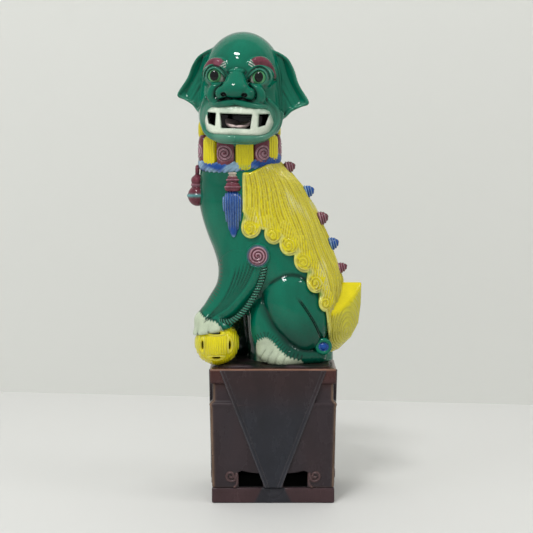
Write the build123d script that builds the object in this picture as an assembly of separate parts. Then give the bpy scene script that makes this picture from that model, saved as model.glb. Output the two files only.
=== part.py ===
from build123d import *
import math
import os

# Glazed earthenware guardian lion (foo dog) seated on a tall table-shaped plinth.
# Millimetres, +Z up, origin at the middle of the plinth's underside.
# The plinth's front faces -Y. The lion's body lies along X with its chest towards -X,
# and its head is turned to look out over the plinth's front, towards -Y.
# "left" and "right" are the lion's own sides, so its left flank is at -Y.
# Every piece is one that the potter presses or cuts on its own and lutes on with slip.

os.makedirs("parts", exist_ok=True)
PARTS = {}

# ---------------------------------------------------------------- driving dimensions
PLINTH_W = 96.0
PLINTH_D = 76.0
PLINTH_H = 104.0
FOOT_H = 12.0
PANEL_TOP = 77.0
WAIST_Z0 = 80.0
SLAB_Z0 = 92.5
TAPER = 2.5            # the panel is this much narrower at its foot, each way
WAIST_RECESS = 2.0
WALL = 6.0
CORNER_R = 3.0
FLOOR_T = 5.0
CLOTH_T = 1.3
PAD_H = 2.5
GROUND = PLINTH_H + PAD_H
SHELL_T = 5.0
MANE_T = 2.5
BALL_R = 17.7
BALL_AT = (-43.0, -21.0, PLINTH_H + BALL_R)
NECK_X = -25.0
HEAD_AT = (-24.0, 0.0, 310.0)
HEAD_YAW = -7.0
HEAD_ROLL = 2.3
BIG = 400.0
WALLS = ("front_wall", "back_wall", "left_end_wall", "right_end_wall")


# ---------------------------------------------------------------- helpers
def column(stations, grow=0.0):
    """Loft through level ellipses, each (x, y, z, half width, half depth)."""
    faces = [Plane(origin=(x, y, z)) * Ellipse(rx + grow, ry + grow) for x, y, z, rx, ry in stations]
    return loft(faces)


def limb(stations):
    """Loft through round sections square to a path, each ((x, y, z), radius)."""
    points = [Vector(*p) for p, _ in stations]
    faces = []
    for i, (_, radius) in enumerate(stations):
        along = points[min(i + 1, len(points) - 1)] - points[max(i - 1, 0)]
        faces.append(Plane(origin=points[i], x_dir=(0, 1, 0), z_dir=along.normalized()) * Circle(radius))
    return loft(faces)


def blob(centre, radii, turn=(0, 0, 0)):
    """Ellipsoid turned about its own centre."""
    return Pos(*centre) * Rot(*turn) * scale(Sphere(1), by=radii)


def block(x0, x1, y0, y1, z0, z1):
    """Box between two corners."""
    return Pos((x0 + x1) / 2, (y0 + y1) / 2, (z0 + z1) / 2) * Box(x1 - x0, y1 - y0, z1 - z0)


def upright(points, y0, y1):
    """Straight-sided outline in X and Z, run from y0 to y1."""
    face = Plane(origin=(0, y0, 0), x_dir=(1, 0, 0), z_dir=(0, 1, 0)) * make_face(
        Polyline(*[(x, -z) for x, z in points], close=True)
    )
    return extrude(face, amount=y1 - y0)


def upright_curve(points, y0, y1):
    """Smooth closed outline in X and Z, run from y0 to y1."""
    face = Plane(origin=(0, y0, 0), x_dir=(1, 0, 0), z_dir=(0, 1, 0)) * make_face(
        Spline(*[(x, -z) for x, z in points], periodic=True)
    )
    return extrude(face, amount=y1 - y0)


def less(shape, *others):
    """The shape with its neighbours cut away, without the crumbs a cut can leave."""
    for other in others:
        shape = shape - other
    solids = shape.solids()
    largest = max(s.volume for s in solids)
    kept = [s for s in solids if s.volume > 0.05 * largest]
    return Compound(children=kept) if len(kept) > 1 else kept[0]


def other_side(shape):
    """The same piece on the lion's right side."""
    return mirror(shape, Plane.XZ)


def in_head(shape):
    """Carries a piece made about the head's own upright axis to its turned place."""
    x, y, z = HEAD_AT
    return Pos(x, y, z) * Rot(0, 0, HEAD_YAW) * Rot(0, HEAD_ROLL, 0) * Pos(0, 0, -z) * shape


def keep(name, shape):
    PARTS[name] = shape
    return shape


def group(shapes):
    return Compound(children=[s for shape in shapes for s in shape.solids()])


# ---------------------------------------------------------------- plinth
def rounded_level(w, d, z):
    return Plane(origin=(0, 0, z)) * RectangleRounded(w, d, CORNER_R)


def wall_window(outer, inner):
    """Cusped opening beside the cloth's tip, low in a wall; outer and inner are its sides in X."""
    foot, low, high = FOOT_H, FOOT_H + 9.0, FOOT_H + 13.0
    middle = (outer + inner) / 2
    top = Spline((outer, high), (middle, low + 1.6), (inner, low))
    sides = Polyline((inner, low), (inner, foot), (outer, foot), (outer, high))
    face = Plane.XZ * make_face([top, sides])
    return extrude(face, amount=BIG / 2, both=True)


def plinth_walls():
    foot = rounded_level(PLINTH_W - TAPER, PLINTH_D - TAPER, FOOT_H)
    panel = loft([foot, rounded_level(PLINTH_W, PLINTH_D, PANEL_TOP)])
    waist_w = PLINTH_W - 2 * WAIST_RECESS
    waist_d = PLINTH_D - 2 * WAIST_RECESS
    shoulder = loft([rounded_level(PLINTH_W, PLINTH_D, PANEL_TOP), rounded_level(waist_w, waist_d, WAIST_Z0)])
    waist = extrude(rounded_level(waist_w, waist_d, WAIST_Z0), amount=SLAB_Z0 - WAIST_Z0)
    inner_w, inner_d = PLINTH_W - 2 * WALL, PLINTH_D - 2 * WALL
    hollow = block(-inner_w / 2, inner_w / 2, -inner_d / 2, inner_d / 2, FOOT_H - 1, SLAB_Z0 + 1)
    shell = panel + shoulder + waist - hollow
    across = PLINTH_D / PLINTH_W
    for side in (-1, 1):
        shell = shell - wall_window(side * 26.5, side * 4.5)
        shell = shell - Rot(0, 0, 90) * wall_window(side * 26.5 * across, side * 4.5 * across)
    # mitred at the corners, so that each wall is one slab
    reach, core = 12.0, 28.0
    x, y = PLINTH_W / 2, PLINTH_D / 2
    outer = (x + reach, y + reach)
    inner = (x - core, y - core)
    front = Polyline((-outer[0], -outer[1]), (outer[0], -outer[1]), (inner[0], -inner[1]),
                     (-inner[0], -inner[1]), close=True)
    side = Polyline((-outer[0], -outer[1]), (-inner[0], -inner[1]), (-inner[0], inner[1]),
                    (-outer[0], outer[1]), close=True)
    front_wedge = extrude(make_face(front), amount=PLINTH_H)
    side_wedge = extrude(make_face(side), amount=PLINTH_H)
    keep("front_wall", shell & front_wedge)
    keep("back_wall", shell & Rot(0, 0, 180) * front_wedge)
    keep("left_end_wall", shell & side_wedge)
    keep("right_end_wall", shell & Rot(0, 0, 180) * side_wedge)


def foot_tray():
    underside = rounded_level(PLINTH_W - 2, PLINTH_D - 2, 0)
    rim = rounded_level(PLINTH_W - TAPER, PLINTH_D - TAPER, FOOT_H)
    tray = loft([underside, rim])
    pocket_w, pocket_d = PLINTH_W - 14.0, PLINTH_D - 14.0
    tray = tray - block(-pocket_w / 2, pocket_w / 2, -pocket_d / 2, pocket_d / 2, FLOOR_T, FOOT_H + 1)
    keep("foot_tray", tray)


def top_slab():
    slab = extrude(rounded_level(PLINTH_W, PLINTH_D, SLAB_Z0), amount=PLINTH_H - SLAB_Z0)
    rims = slab.faces().filter_by(Axis.Z).edges()
    keep("top_slab", fillet(rims, 1.4))


def cloth(width, depth):
    """Corner of the tasselled table cloth: a border round a field, hanging flat on a wall at -Y."""
    top, tip = PLINTH_H - 1.5, FOOT_H
    half_top, half_tip = 0.43 * width, 0.066 * width
    border = 3.2
    face_y = -depth / 2
    outer = [(-half_top, top), (half_top, top), (half_tip, tip), (-half_tip, tip)]
    inner = [(border - half_top, top), (half_top - border, top), (half_tip - 0.5 * border, tip),
             (0.5 * border - half_tip, tip)]
    plate = upright(outer, face_y - CLOTH_T, face_y + 3)
    sunk = upright(inner, face_y - CLOTH_T - 1, face_y - CLOTH_T + 0.4)
    return plate - sunk


def cloths():
    structure = [PARTS[n] for n in ("top_slab", "foot_tray") + WALLS]
    x, y = PLINTH_W / 2 - WALL, PLINTH_D / 2 - WALL
    hollow = block(-x, x, -y, y, 0, SLAB_Z0)
    front = cloth(PLINTH_W, PLINTH_D)
    end = Rot(0, 0, -90) * cloth(PLINTH_D, PLINTH_W)
    keep("front_cloth", less(front, hollow, *structure))
    keep("back_cloth", less(Rot(0, 0, 180) * front, hollow, *structure))
    keep("left_end_cloth", less(end, hollow, *structure))
    keep("right_end_cloth", less(Rot(0, 0, 180) * end, hollow, *structure))


def scroll_bracket(across, face_y):
    """Scroll-headed bracket leg beside a window, in low relief on the wall at -Y."""
    proud, root = face_y - 0.6, face_y + 2.0
    head = Pos(across * 33.2, (proud + root) / 2, FOOT_H + 9.6) * Rot(90, 0, 0) * Cylinder(5.2, root - proud)
    outline = [(27.0, 0), (31.5, 0), (33.5, 6), (28.2, 12)]
    leg = upright([(across * x, FOOT_H + z) for x, z in outline], proud, root)
    return head + leg


def scroll_brackets():
    walls = [PARTS[n] for n in WALLS]
    across = PLINTH_D / PLINTH_W
    made = []
    for side in (-1, 1):
        front = scroll_bracket(side, -PLINTH_D / 2 + 0.9)
        end = Rot(0, 0, -90) * scroll_bracket(side * across, -PLINTH_W / 2 + 0.9)
        for turn in (0, 180):
            made.append(less(Rot(0, 0, turn) * front, *walls))
            made.append(less(Rot(0, 0, turn) * end, *walls))
    keep("scroll_brackets", group(made))


def ground_pad():
    """Low rocky ground that the lion is luted to; the ball has sunk a seat in it."""
    edge = Spline((-43, -30), (-20, -34.5), (10, -33), (36, -34.5), (44, -22), (43, 6), (45, 28), (24, 34),
                  (-8, 32.5), (-36, 34.5), (-44, 22), (-42, -4), periodic=True)
    pad = extrude(Plane(origin=(0, 0, PLINTH_H)) * make_face(edge), amount=PAD_H)
    keep("ground_pad", pad - Pos(*BALL_AT) * Sphere(BALL_R))


# ---------------------------------------------------------------- body
TORSO = [(22, 0, GROUND, 24, 24), (20, 0, 125, 30, 27), (14, 0, 150, 38, 29), (6, 0, 175, 45, 30),
         (-5.5, 0, 203, 45, 30), (-14, 0, 226, 43, 29), (-19, 0, 242, 38, 28), (-24.5, 0, 256, 32, 28),
         (NECK_X, 0, 262, 28.5, 25.5), (NECK_X, 0, 273, 27, 24.5)]
HALF_SPACE = block(-BIG, BIG, 0, BIG, -BIG, BIG)


def torso():
    outside = column(TORSO)
    lifted = [(x, y, z + 6 if z == GROUND else z, rx, ry) for x, y, z, rx, ry in TORSO]
    x, y, z, rx, ry = lifted[-1]
    inside = column(lifted[:-1] + [(x, y, z + 1, rx, ry)], grow=-SHELL_T - 1)
    shell = outside - inside
    keep("torso_left_half", shell - HALF_SPACE)
    keep("torso_right_half", shell & HALF_SPACE)
    return outside


def haunch():
    """Thigh of the folded left hind leg."""
    return blob((18, -17, 147), (25, 18, 34), (0, -15, 0)) - block(-BIG, BIG, -BIG, BIG, 0, GROUND)


def hind_foot():
    """Shin, heel and toes of the left hind leg, flat on the ground."""
    shin = blob((-4, -19, 133), (13.5, 11, 25), (0, 4, 0))
    toes = blob((5, -23, 114), (18.5, 12, 11), (0, 12, 0))
    heel = blob((24, -21, 112.5), (18, 9, 8))
    return shin + toes + heel - block(-BIG, BIG, -BIG, BIG, 0, GROUND)


def left_foreleg():
    return limb([((-20, -14, 192), 17), ((-24, -16, 176), 16.5), ((-30, -18, 161), 14.5),
                 ((-39, -20, 149), 12.5), ((-46, -21, 143), 11.5)])


def right_foreleg():
    return limb([((-20, 13, 192), 17), ((-25, 15, 172), 15), ((-27, 17, 150), 12.5), ((-27, 18, 130), 10.5),
                 ((-28, 18, 116), 10)])


def leg_lock(points):
    """Flat lock of hair down the back of a foreleg."""
    path = Spline(*points)
    section = Plane(origin=path @ 0, x_dir=(0, 1, 0), z_dir=path % 0) * Ellipse(2.2, 3.2)
    return sweep(section, path=path, is_frenet=False)


def curl(x, y, z, radius, thick):
    """Round applied curl standing on the left flank, its face a little smaller than its back."""
    return Pos(x, y, z) * Rot(90, 0, 0) * Cone(radius, 0.86 * radius, thick)


def mane(body):
    """Combed cape of hair laid over the neck and back, to the root of the tail."""
    edge = [(-23, 262), (-23, 221), (-16, 206), (1, 201), (12, 193), (21, 182), (29, 168), (36, 154),
            (40, 140), (43, 120), (80, 120), (80, 262)]
    return (column(TORSO, grow=MANE_T) - body) & upright(edge, -60, 60)


MANE_CURLS = [(-16.5, 211, 8.0), (0.5, 206, 7.5), (13, 198.5, 9.0), (24.5, 186, 9.5), (33.5, 169.5, 8.5),
              (42, 153, 7.0)]
KNOBS = [(8.5, 254), (23.5, 236), (35, 216.5), (43.5, 196), (49.5, 176)]
BACK_NORMAL = (0.886, 0.0, 0.462)


def flank_depth(x, z):
    """Half depth of the torso's surface at x and z."""
    for low, high in zip(TORSO, TORSO[1:]):
        if low[2] <= z <= high[2]:
            t = (z - low[2]) / (high[2] - low[2])
            cx, _, _, rx, ry = (a + t * (b - a) for a, b in zip(low, high))
            return ry * math.sqrt(max(0.05, 1 - ((x - cx) / rx) ** 2))
    return 0.0


def lion_body():
    body = torso()
    thigh = haunch()
    keep("left_haunch", less(thigh, body))
    keep("right_haunch", other_side(PARTS["left_haunch"]))

    foot = hind_foot()
    far_thigh, far_foot = other_side(thigh), other_side(foot)
    keep("left_hind_foot", less(foot, body, thigh))
    keep("right_hind_foot", other_side(PARTS["left_hind_foot"]))

    ball = Pos(*BALL_AT) * Sphere(BALL_R)
    fore = less(left_foreleg(), body, ball, foot, thigh)
    keep("left_foreleg", fore)
    keep("right_foreleg", less(right_foreleg(), body, far_foot, far_thigh, PARTS["ground_pad"]))
    paw = blob((-46.5, -21, 138), (15, 14.5, 10.5), (0, -18, 0)) + blob((-54, -22, 133), (7.5, 11, 9))
    keep("left_forepaw", less(paw, ball, fore))
    far_paw = blob((-31, 19, GROUND + 6), (14, 11.5, 9.5)) - block(-BIG, BIG, -BIG, BIG, 0, GROUND)
    keep("right_forepaw", less(far_paw, PARTS["right_foreleg"]))

    cape = less(mane(body), thigh, far_thigh)
    keep("mane", cape)
    lobes = []
    for x, z, radius in MANE_CURLS:
        lobe = curl(x, -flank_depth(x, z) - 0.5, z, radius, 9)
        lobes.append(less(lobe, body, cape, thigh, *lobes))
    left_curls = group(lobes)
    keep("left_mane_curls", left_curls)
    keep("right_mane_curls", other_side(left_curls))

    nx, _, nz = BACK_NORMAL
    for number, (x, z) in enumerate(KNOBS, 1):
        base = Plane(origin=(x - 2 * nx, 0, z - 2 * nz), z_dir=BACK_NORMAL)
        knob = base * Pos(0, 0, 5) * Cone(5.8, 2.0, 10) + base * Pos(0, 0, 10) * Sphere(2.0)
        keep(f"spine_knob_{number}", less(knob, body, cape))

    tail = column([(48, 0, 110.5, 3, 7), (50.5, 0, 118, 9, 13), (54.5, 0, 130, 13, 17),
                   (56.5, 0, 145, 13.5, 18.5), (58.5, 0, 158, 12, 17.5), (59.5, 0, 168, 10.2, 16.5)])
    for side in (-1, 1):
        roof = Plane(origin=(61.5, 0, 166.5), x_dir=(1, 0, 0), z_dir=(-0.62, side * 0.62, 0.75))
        tail = tail - roof * Pos(0, 0, 30) * Box(90, 90, 60)
    keep("tail", less(tail, body, cape, thigh, far_thigh, foot, far_foot))

    lock = leg_lock([(-6.5, -28.5, 181), (-9, -31, 172), (-14, -31.5, 160), (-22, -31.5, 148.5),
                     (-31, -31.5, 140.5)])
    keep("left_leg_lock", less(lock, fore, PARTS["left_forepaw"], thigh, foot, body, ball))
    far_lock = leg_lock([(-7, 28.5, 181), (-11, 30.5, 168), (-16, 30, 152), (-20, 28.5, 136), (-22, 27, 124)])
    far_side = [PARTS[n] for n in ("right_foreleg", "right_haunch", "right_hind_foot")]
    keep("right_leg_lock", less(far_lock, body, *far_side))

    shoulder = curl(-11.8, -29.5, 189.6, 8.6, 5)
    keep("left_shoulder_curl", less(shoulder, body, fore, lock, *lobes))
    keep("right_shoulder_curl", less(other_side(shoulder), body, PARTS["right_foreleg"], far_lock))
    hock = curl(38.4, -23.5, 119.2, 6.6, 9)
    keep("left_hock_curl", less(hock, body, thigh, foot, PARTS["tail"], cape))
    keep("right_hock_curl", other_side(PARTS["left_hock_curl"]))
    return body


def brocade_ball():
    """Hollow ball pierced with twelve leaf-shaped slots in a coin pattern."""
    shell = Rot(45, 0, 0) * (Sphere(BALL_R) - Sphere(BALL_R - 3.2))
    half, rise = 6.0, 2.1
    axes = [Vector(1, 0, 0), Vector(0, 1, 0), Vector(0, 0, 1)]
    for k, along in enumerate(axes):
        a, b = axes[(k + 1) % 3], axes[(k + 2) % 3]
        for sign_a in (-1, 1):
            for sign_b in (-1, 1):
                out = (a * sign_a + b * sign_b).normalized()
                leaf = make_face([ThreePointArc((-half, 0), (0, rise), (half, 0)),
                                  ThreePointArc((half, 0), (0, -rise), (-half, 0))])
                placed = Plane(origin=out * 10, x_dir=along, z_dir=out) * leaf
                shell = shell - extrude(placed, amount=12)
    keep("brocade_ball", Pos(*BALL_AT) * shell)


# ---------------------------------------------------------------- neck
def neck_pieces(body):
    """The collar, and the upright locks of the ruff standing in it before they are cut to fit."""
    ring = extrude(Ellipse(32.4, 29.2), amount=4.5, both=True)
    ring = Pos(NECK_X, 0, 260.3) * Rot(10.5, -5, 0) * ring
    collar = less(ring, body, PARTS["mane"], PARTS["spine_knob_1"])
    keep("collar", collar)

    tab_w, tab_t = 14.2, 5.0
    colours = {"yellow": [], "purple": []}
    tabs = [(-78, "purple", 272, 19), (-50, "yellow", 270, 20), (-22, "purple", 267.5, 17),
            (6, "yellow", 265.5, 19), (34, "purple", 268, 16), (61, "yellow", 271, 18),
            (88, "purple", 275, 17)]
    for number, angle in enumerate(range(115, 270, 27), 1):
        tabs.append((angle, "yellow" if number % 2 else "purple", 275, 19))
    for angle, colour, z, height in tabs:
        turn = math.radians(angle)
        x, y = NECK_X + 30.6 * math.sin(turn), -28.0 * math.cos(turn)
        tab = fillet(Box(tab_w, tab_t, height).edges().filter_by(Axis.Y), 5.0)
        tab = Pos(x, y, z) * Rot(0, 0, angle) * tab
        colours[colour].append(tab)
    return collar, colours


def finish_ruff(body, collar, colours, skull):
    """Cuts the ruff's locks back from the head and from each other, then groups them by colour."""
    placed = []
    for colour, tabs in colours.items():
        made = []
        for tab in tabs:
            cut = less(tab, body, collar, skull, PARTS["mane"], PARTS["spine_knob_1"], *placed)
            made.append(cut)
            placed.append(cut)
        keep(f"ruff_locks_{colour}", group(made))


def bell_and_tassels(body, collar):
    loop = blob((-57.5, 0, 253), (2.6, 3.2, 5.0))
    crown = blob((-57, 0, 245), (5.6, 6.4, 5.2))
    bowl = blob((-57, 0, 234), (8.0, 8.6, 8.4))
    keep("chest_bell", less(loop + crown + bowl, body, collar))

    x, y = -30.6, -27.5
    cap = column([(x, y, 238.6, 6.6, 4.6), (x, y, 241.5, 7.0, 5.0), (x, y, 244.5, 5.4, 4.2),
                  (x, y, 247.5, 4.0, 3.6), (x, y, 251, 3.2, 3.0), (x, y, 253, 1.2, 1.2)])
    fringe = column([(x, y - 0.5, 238.6, 7.0, 4.6), (x - 0.3, y - 0.8, 229, 8.0, 5.0),
                     (x, y - 0.6, 218, 6.4, 4.4), (x + 0.4, y - 0.2, 209, 3.6, 3.2),
                     (x + 0.8, y + 0.2, 202.6, 0.8, 1.2)])
    near = [PARTS["mane"], body, collar]
    keep("left_tassel_cap", less(cap, *near))
    keep("left_tassel", less(fringe, *near, PARTS["left_mane_curls"]))
    keep("right_tassel_cap", less(other_side(cap), *near))
    keep("right_tassel", less(other_side(fringe), *near, PARTS["right_mane_curls"]))


# ---------------------------------------------------------------- head, made upright about its own axis
SKULL = [(0, 0, 273, 30, 28.5), (0, -1.5, 281, 33, 33), (0, -2, 295, 34.5, 35), (0, -1, 308, 33, 34),
         (0, 0, 322, 31.5, 33), (0, 1, 335, 30, 31.5), (0, 1, 346, 25.5, 27.5), (0, 1, 354, 18, 19.5),
         (0, 1, 359, 8, 8.5), (0, 1, 360, 4, 4)]
MUZZLE_Y = -20.0
MUZZLE = (24.5, 19.0)
EYE = (17.0, -24.0, 324.0, 8.6)


def muzzle(grow, z0, z1):
    rx, ry = MUZZLE
    drum = extrude(Plane(origin=(0, MUZZLE_Y, z0)) * Ellipse(rx + grow, ry + grow), amount=z1 - z0)
    return drum & block(-BIG, BIG, -BIG, -22, -BIG, BIG)


def head():
    outside = column(SKULL) + muzzle(0, 274.5, 304)
    inner = [(x, y, z, rx, ry) for x, y, z, rx, ry in SKULL if z < 355]
    inside = column([(0, 0, 272, 30, 28.5)] + inner, grow=-SHELL_T - 1)
    mouth = block(-19.5, 19.5, -60, -10, 284, 297)
    shell = outside - inside - mouth
    back = block(-BIG, BIG, 0, BIG, -BIG, BIG)

    gums = muzzle(3.0, 278.5, 302.5) - muzzle(0, 270, 310)
    gums = gums - block(-11.5, 11.5, -60, 0, 286, 296)
    for side in (-1, 1):
        gums = gums - block(min(side * 15.5, side * 22), max(side * 15.5, side * 22), -60, 0, 287.5, 296)
    lip = muzzle(4.6, 302.5, 306.5) - outside
    nose = blob((0, -36, 313.5), (13.5, 10, 7.6))
    for side in (-1, 1):
        nose = nose - Pos(side * 7.4, -44, 309.5) * Rot(90, 0, 0) * Cylinder(2.2, 8)
    tongue = blob((0, -30, 286.3), (9.5, 8.5, 2.2)) - block(-20, 20, -60, 0, 270, 284)

    pieces = {
        "head_front_half": shell - back,
        "head_back_half": shell & back,
        "teeth_frame": less(gums, outside),
        "upper_lip": less(lip, nose),
        "nose": less(nose, outside),
        "tongue": tongue,
    }
    for side in (-1, 1):
        x, y, z, r = EYE[0] * side, *EYE[1:]
        ball = Pos(x, y, z) * Sphere(r)
        lid = Pos(x, y - 2.5, z) * Rot(90, 0, 0) * (Cylinder(9.8, 9) - Cylinder(7.2, 10))
        bar = Box(20, 14, 7)
        brow = Pos(side * 20, -24, 337) * Rot(0, side * 24, 0) * fillet(bar.edges().filter_by(Axis.Y), 3.2)
        ear = upright_curve(
            [(side * 22, 345), (side * 35, 340.5), (side * 42, 327), (side * 51.6, 310), (side * 46, 303.5),
             (side * 36, 300), (side * 27, 303), (side * 24, 322)], -5, 4)
        name = "left" if side > 0 else "right"
        pieces[f"{name}_eyeball"] = less(ball, outside)
        pieces[f"{name}_eyelid"] = less(lid, ball, outside, nose)
        pieces[f"{name}_brow"] = less(brow, outside, ball, lid)
        pieces[f"{name}_ear"] = less(ear, outside)
    for name, shape in pieces.items():
        keep(name, in_head(shape))
    return in_head(outside)


# ---------------------------------------------------------------- build
plinth_walls()
foot_tray()
top_slab()
cloths()
scroll_brackets()
ground_pad()
torso_solid = lion_body()
brocade_ball()
collar_ring, ruff = neck_pieces(torso_solid)
bell_and_tassels(torso_solid, collar_ring)
head_solid = head()
for half in ("head_front_half", "head_back_half"):
    PARTS[half] = less(PARTS[half], torso_solid, collar_ring)
finish_ruff(torso_solid, collar_ring, ruff, head_solid)

for name, shape in PARTS.items():
    export_step(shape, f"parts/{name}.step")
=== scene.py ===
import math

import bpy
import numpy as np
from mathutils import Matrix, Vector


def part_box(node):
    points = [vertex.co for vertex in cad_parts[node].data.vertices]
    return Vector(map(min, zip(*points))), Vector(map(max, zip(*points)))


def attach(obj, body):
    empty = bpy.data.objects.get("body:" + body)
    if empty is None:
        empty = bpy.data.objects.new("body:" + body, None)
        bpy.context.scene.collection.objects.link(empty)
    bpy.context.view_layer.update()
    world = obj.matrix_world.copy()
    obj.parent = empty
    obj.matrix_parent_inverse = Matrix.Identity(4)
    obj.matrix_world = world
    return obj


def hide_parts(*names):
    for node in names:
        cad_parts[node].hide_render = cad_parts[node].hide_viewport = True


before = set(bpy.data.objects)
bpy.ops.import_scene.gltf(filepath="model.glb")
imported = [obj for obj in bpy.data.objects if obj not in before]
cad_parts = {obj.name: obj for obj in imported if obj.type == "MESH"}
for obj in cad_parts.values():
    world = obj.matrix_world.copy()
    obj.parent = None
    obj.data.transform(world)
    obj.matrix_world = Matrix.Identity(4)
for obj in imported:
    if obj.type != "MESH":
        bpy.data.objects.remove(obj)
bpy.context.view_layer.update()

import openvdb
from mathutils import Vector

# Every piece is sculpted as a distance field in millimetres, in the shared frame, meshed on a fine grid,
# drawn onto the field's true surface, and then glazed with a painted colour per vertex.
# Fields take points p, an (n, 3) array, and return n signed distances, negative inside the clay.


# ---------------------------------------------------------------- places taken from the frame
def corners(node):
    """Lowest and highest corners of a CAD node, in millimetres."""
    low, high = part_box(node)
    return np.array(low) * 1000.0, np.array(high) * 1000.0


def middle(node):
    low, high = corners(node)
    return (low + high) / 2


SLAB_LOW, SLAB_HIGH = corners("top_slab")
PLINTH_X, PLINTH_Y = SLAB_HIGH[0], SLAB_HIGH[1]
PLINTH_TOP, SLAB_UNDER = SLAB_HIGH[2], SLAB_LOW[2]
FOOT_TOP = corners("foot_tray")[1][2]
GROUND = corners("ground_pad")[1][2]
BALL = middle("brocade_ball")
BALL_R = (corners("brocade_ball")[1][2] - corners("brocade_ball")[0][2]) / 2
NECK_X = -25.8
HEAD = np.array([-24.0, 0.0, 310.0])
HEAD_YAW, HEAD_ROLL = math.radians(-7.0), math.radians(2.3)


# ---------------------------------------------------------------- field library
def smin(a, b, k):
    """Union with a fillet about k wide."""
    h = np.clip(k - np.abs(a - b), 0, None) / k
    return np.minimum(a, b) - h * h * k / 4


def smax(a, b, k):
    """Intersection with a rounded edge about k wide."""
    return -smin(-a, -b, k)


def length(v):
    return np.sqrt(np.einsum("...i,...i->...", v, v))


def step(low, high, x):
    """Smooth 0 to 1 as x goes from low to high."""
    t = np.clip((x - low) / (high - low), 0, 1)
    return t * t * (3 - 2 * t)


def ridge(d, width):
    """1 on a line and 0 away from it, for a distance d from the line."""
    return np.exp(-(d / width) ** 2)


def stripes(x, pitch, phase=0.0):
    """Waves of -1 to 1 across x, a pitch apart."""
    return np.cos(2 * np.pi * x / pitch + phase)


def far_off(p):
    """Distances to nothing, to take the nearest of several shapes from."""
    return np.full(len(p), 1e3)


def mirrored(p, axis=1):
    """Points folded over one axis, for what is the same on both sides."""
    q = p.copy()
    q[:, axis] = np.abs(q[:, axis])
    return q


def wobble(p, scale, seed=0.0):
    """Smooth unevenness of about -1 to 1, with lumps about scale across."""
    x, y, z = (p * (2.2 / scale)).T
    a = np.sin(x + 1.7 * np.sin(0.8 * y + seed) + seed)
    b = np.sin(1.1 * y + 1.3 * np.sin(0.9 * z + 2 * seed) + 1.9)
    c = np.sin(0.9 * z + 1.5 * np.sin(0.7 * x + seed) + 0.6 * seed)
    return (a + b + c) / 3


def turned(axis, angle):
    """Rotation matrix about a world axis."""
    c, s = math.cos(angle), math.sin(angle)
    i, j = [(1, 2), (2, 0), (0, 1)][axis]
    m = np.eye(3)
    m[i, i] = m[j, j] = c
    m[i, j], m[j, i] = -s, s
    return m


def ellipsoid(p, centre, radii, tilt=0.0, axis=1):
    q = p - np.array(centre)
    if tilt:
        q = q @ turned(axis, math.radians(tilt))
    r = np.array(radii)
    k0 = length(q / r)
    k1 = length(q / (r * r))
    return k0 * (k0 - 1) / np.maximum(k1, 1e-6)


def smooth_path(stations, per=6):
    """Points along a curve through stations, any number of values each."""
    s = np.array(stations, float)
    s = np.vstack([2 * s[0] - s[1], s, 2 * s[-1] - s[-2]])
    out = []
    for i in range(1, len(s) - 2):
        for t in np.arange(per) / per:
            out.append(0.5 * (2 * s[i] + (s[i + 1] - s[i - 1]) * t
                              + (2 * s[i - 1] - 5 * s[i] + 4 * s[i + 1] - s[i + 2]) * t * t
                              + (3 * s[i] - s[i - 1] - 3 * s[i + 1] + s[i + 2]) * t ** 3))
    out.append(s[-2])
    return np.array(out)


def tube(p, stations, per=5):
    """Rounded limb through stations, each x, y, z, radius."""
    path = smooth_path(stations, per) if len(stations) > 2 else np.array(stations, float)
    best = far_off(p)
    for a, b in zip(path, path[1:]):
        ab = b[:3] - a[:3]
        ap = p - a[:3]
        t = np.clip(ap @ ab / (ab @ ab), 0, 1)
        best = np.minimum(best, length(ap - t[:, None] * ab) - (a[3] + (b[3] - a[3]) * t))
    return best


def line2(a, b, points, per=5):
    """Distance from (a, b) to a smooth line through points, and how far along it, 0 to 1."""
    path = smooth_path(points, per) if len(points) > 2 else np.array(points, float)
    best, along = far_off(a), np.zeros(len(a))
    for i, (s, e) in enumerate(zip(path, path[1:])):
        d = e - s
        t = np.clip(((a - s[0]) * d[0] + (b - s[1]) * d[1]) / (d @ d), 0, 1)
        dist = np.hypot(a - s[0] - t * d[0], b - s[1] - t * d[1])
        nearer = dist < best
        best = np.where(nearer, dist, best)
        along = np.where(nearer, (i + t) / (len(path) - 1), along)
    return best, along


def area2(a, b, outline, per=4, curved=True):
    """Signed distance from (a, b) to a closed outline."""
    pts = np.array(outline, float)
    if curved:
        n = len(pts)
        ring = [pts[i % n] for i in range(n + 1)]
        s = np.vstack([pts[-1], ring, pts[1]])
        pts = np.vstack([smooth_path(s[i:i + 4], per)[per:2 * per] for i in range(n)])
    best, inside = far_off(a), np.zeros(len(a), bool)
    for s, e in zip(pts, np.roll(pts, -1, 0)):
        d = e - s
        t = np.clip(((a - s[0]) * d[0] + (b - s[1]) * d[1]) / max(d @ d, 1e-9), 0, 1)
        best = np.minimum(best, np.hypot(a - s[0] - t * d[0], b - s[1] - t * d[1]))
        crosses = (s[1] > b) != (e[1] > b)
        at = s[0] + (b - s[1]) * d[0] / (d[1] if abs(d[1]) > 1e-9 else 1e-9)
        inside ^= crosses & (a < at)
    return np.where(inside, -best, best)


def rounded_box(p, centre, half, radius):
    q = np.abs(p - np.array(centre)) - (np.array(half) - radius)
    return length(np.maximum(q, 0)) + np.minimum(q.max(1), 0) - radius


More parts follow.
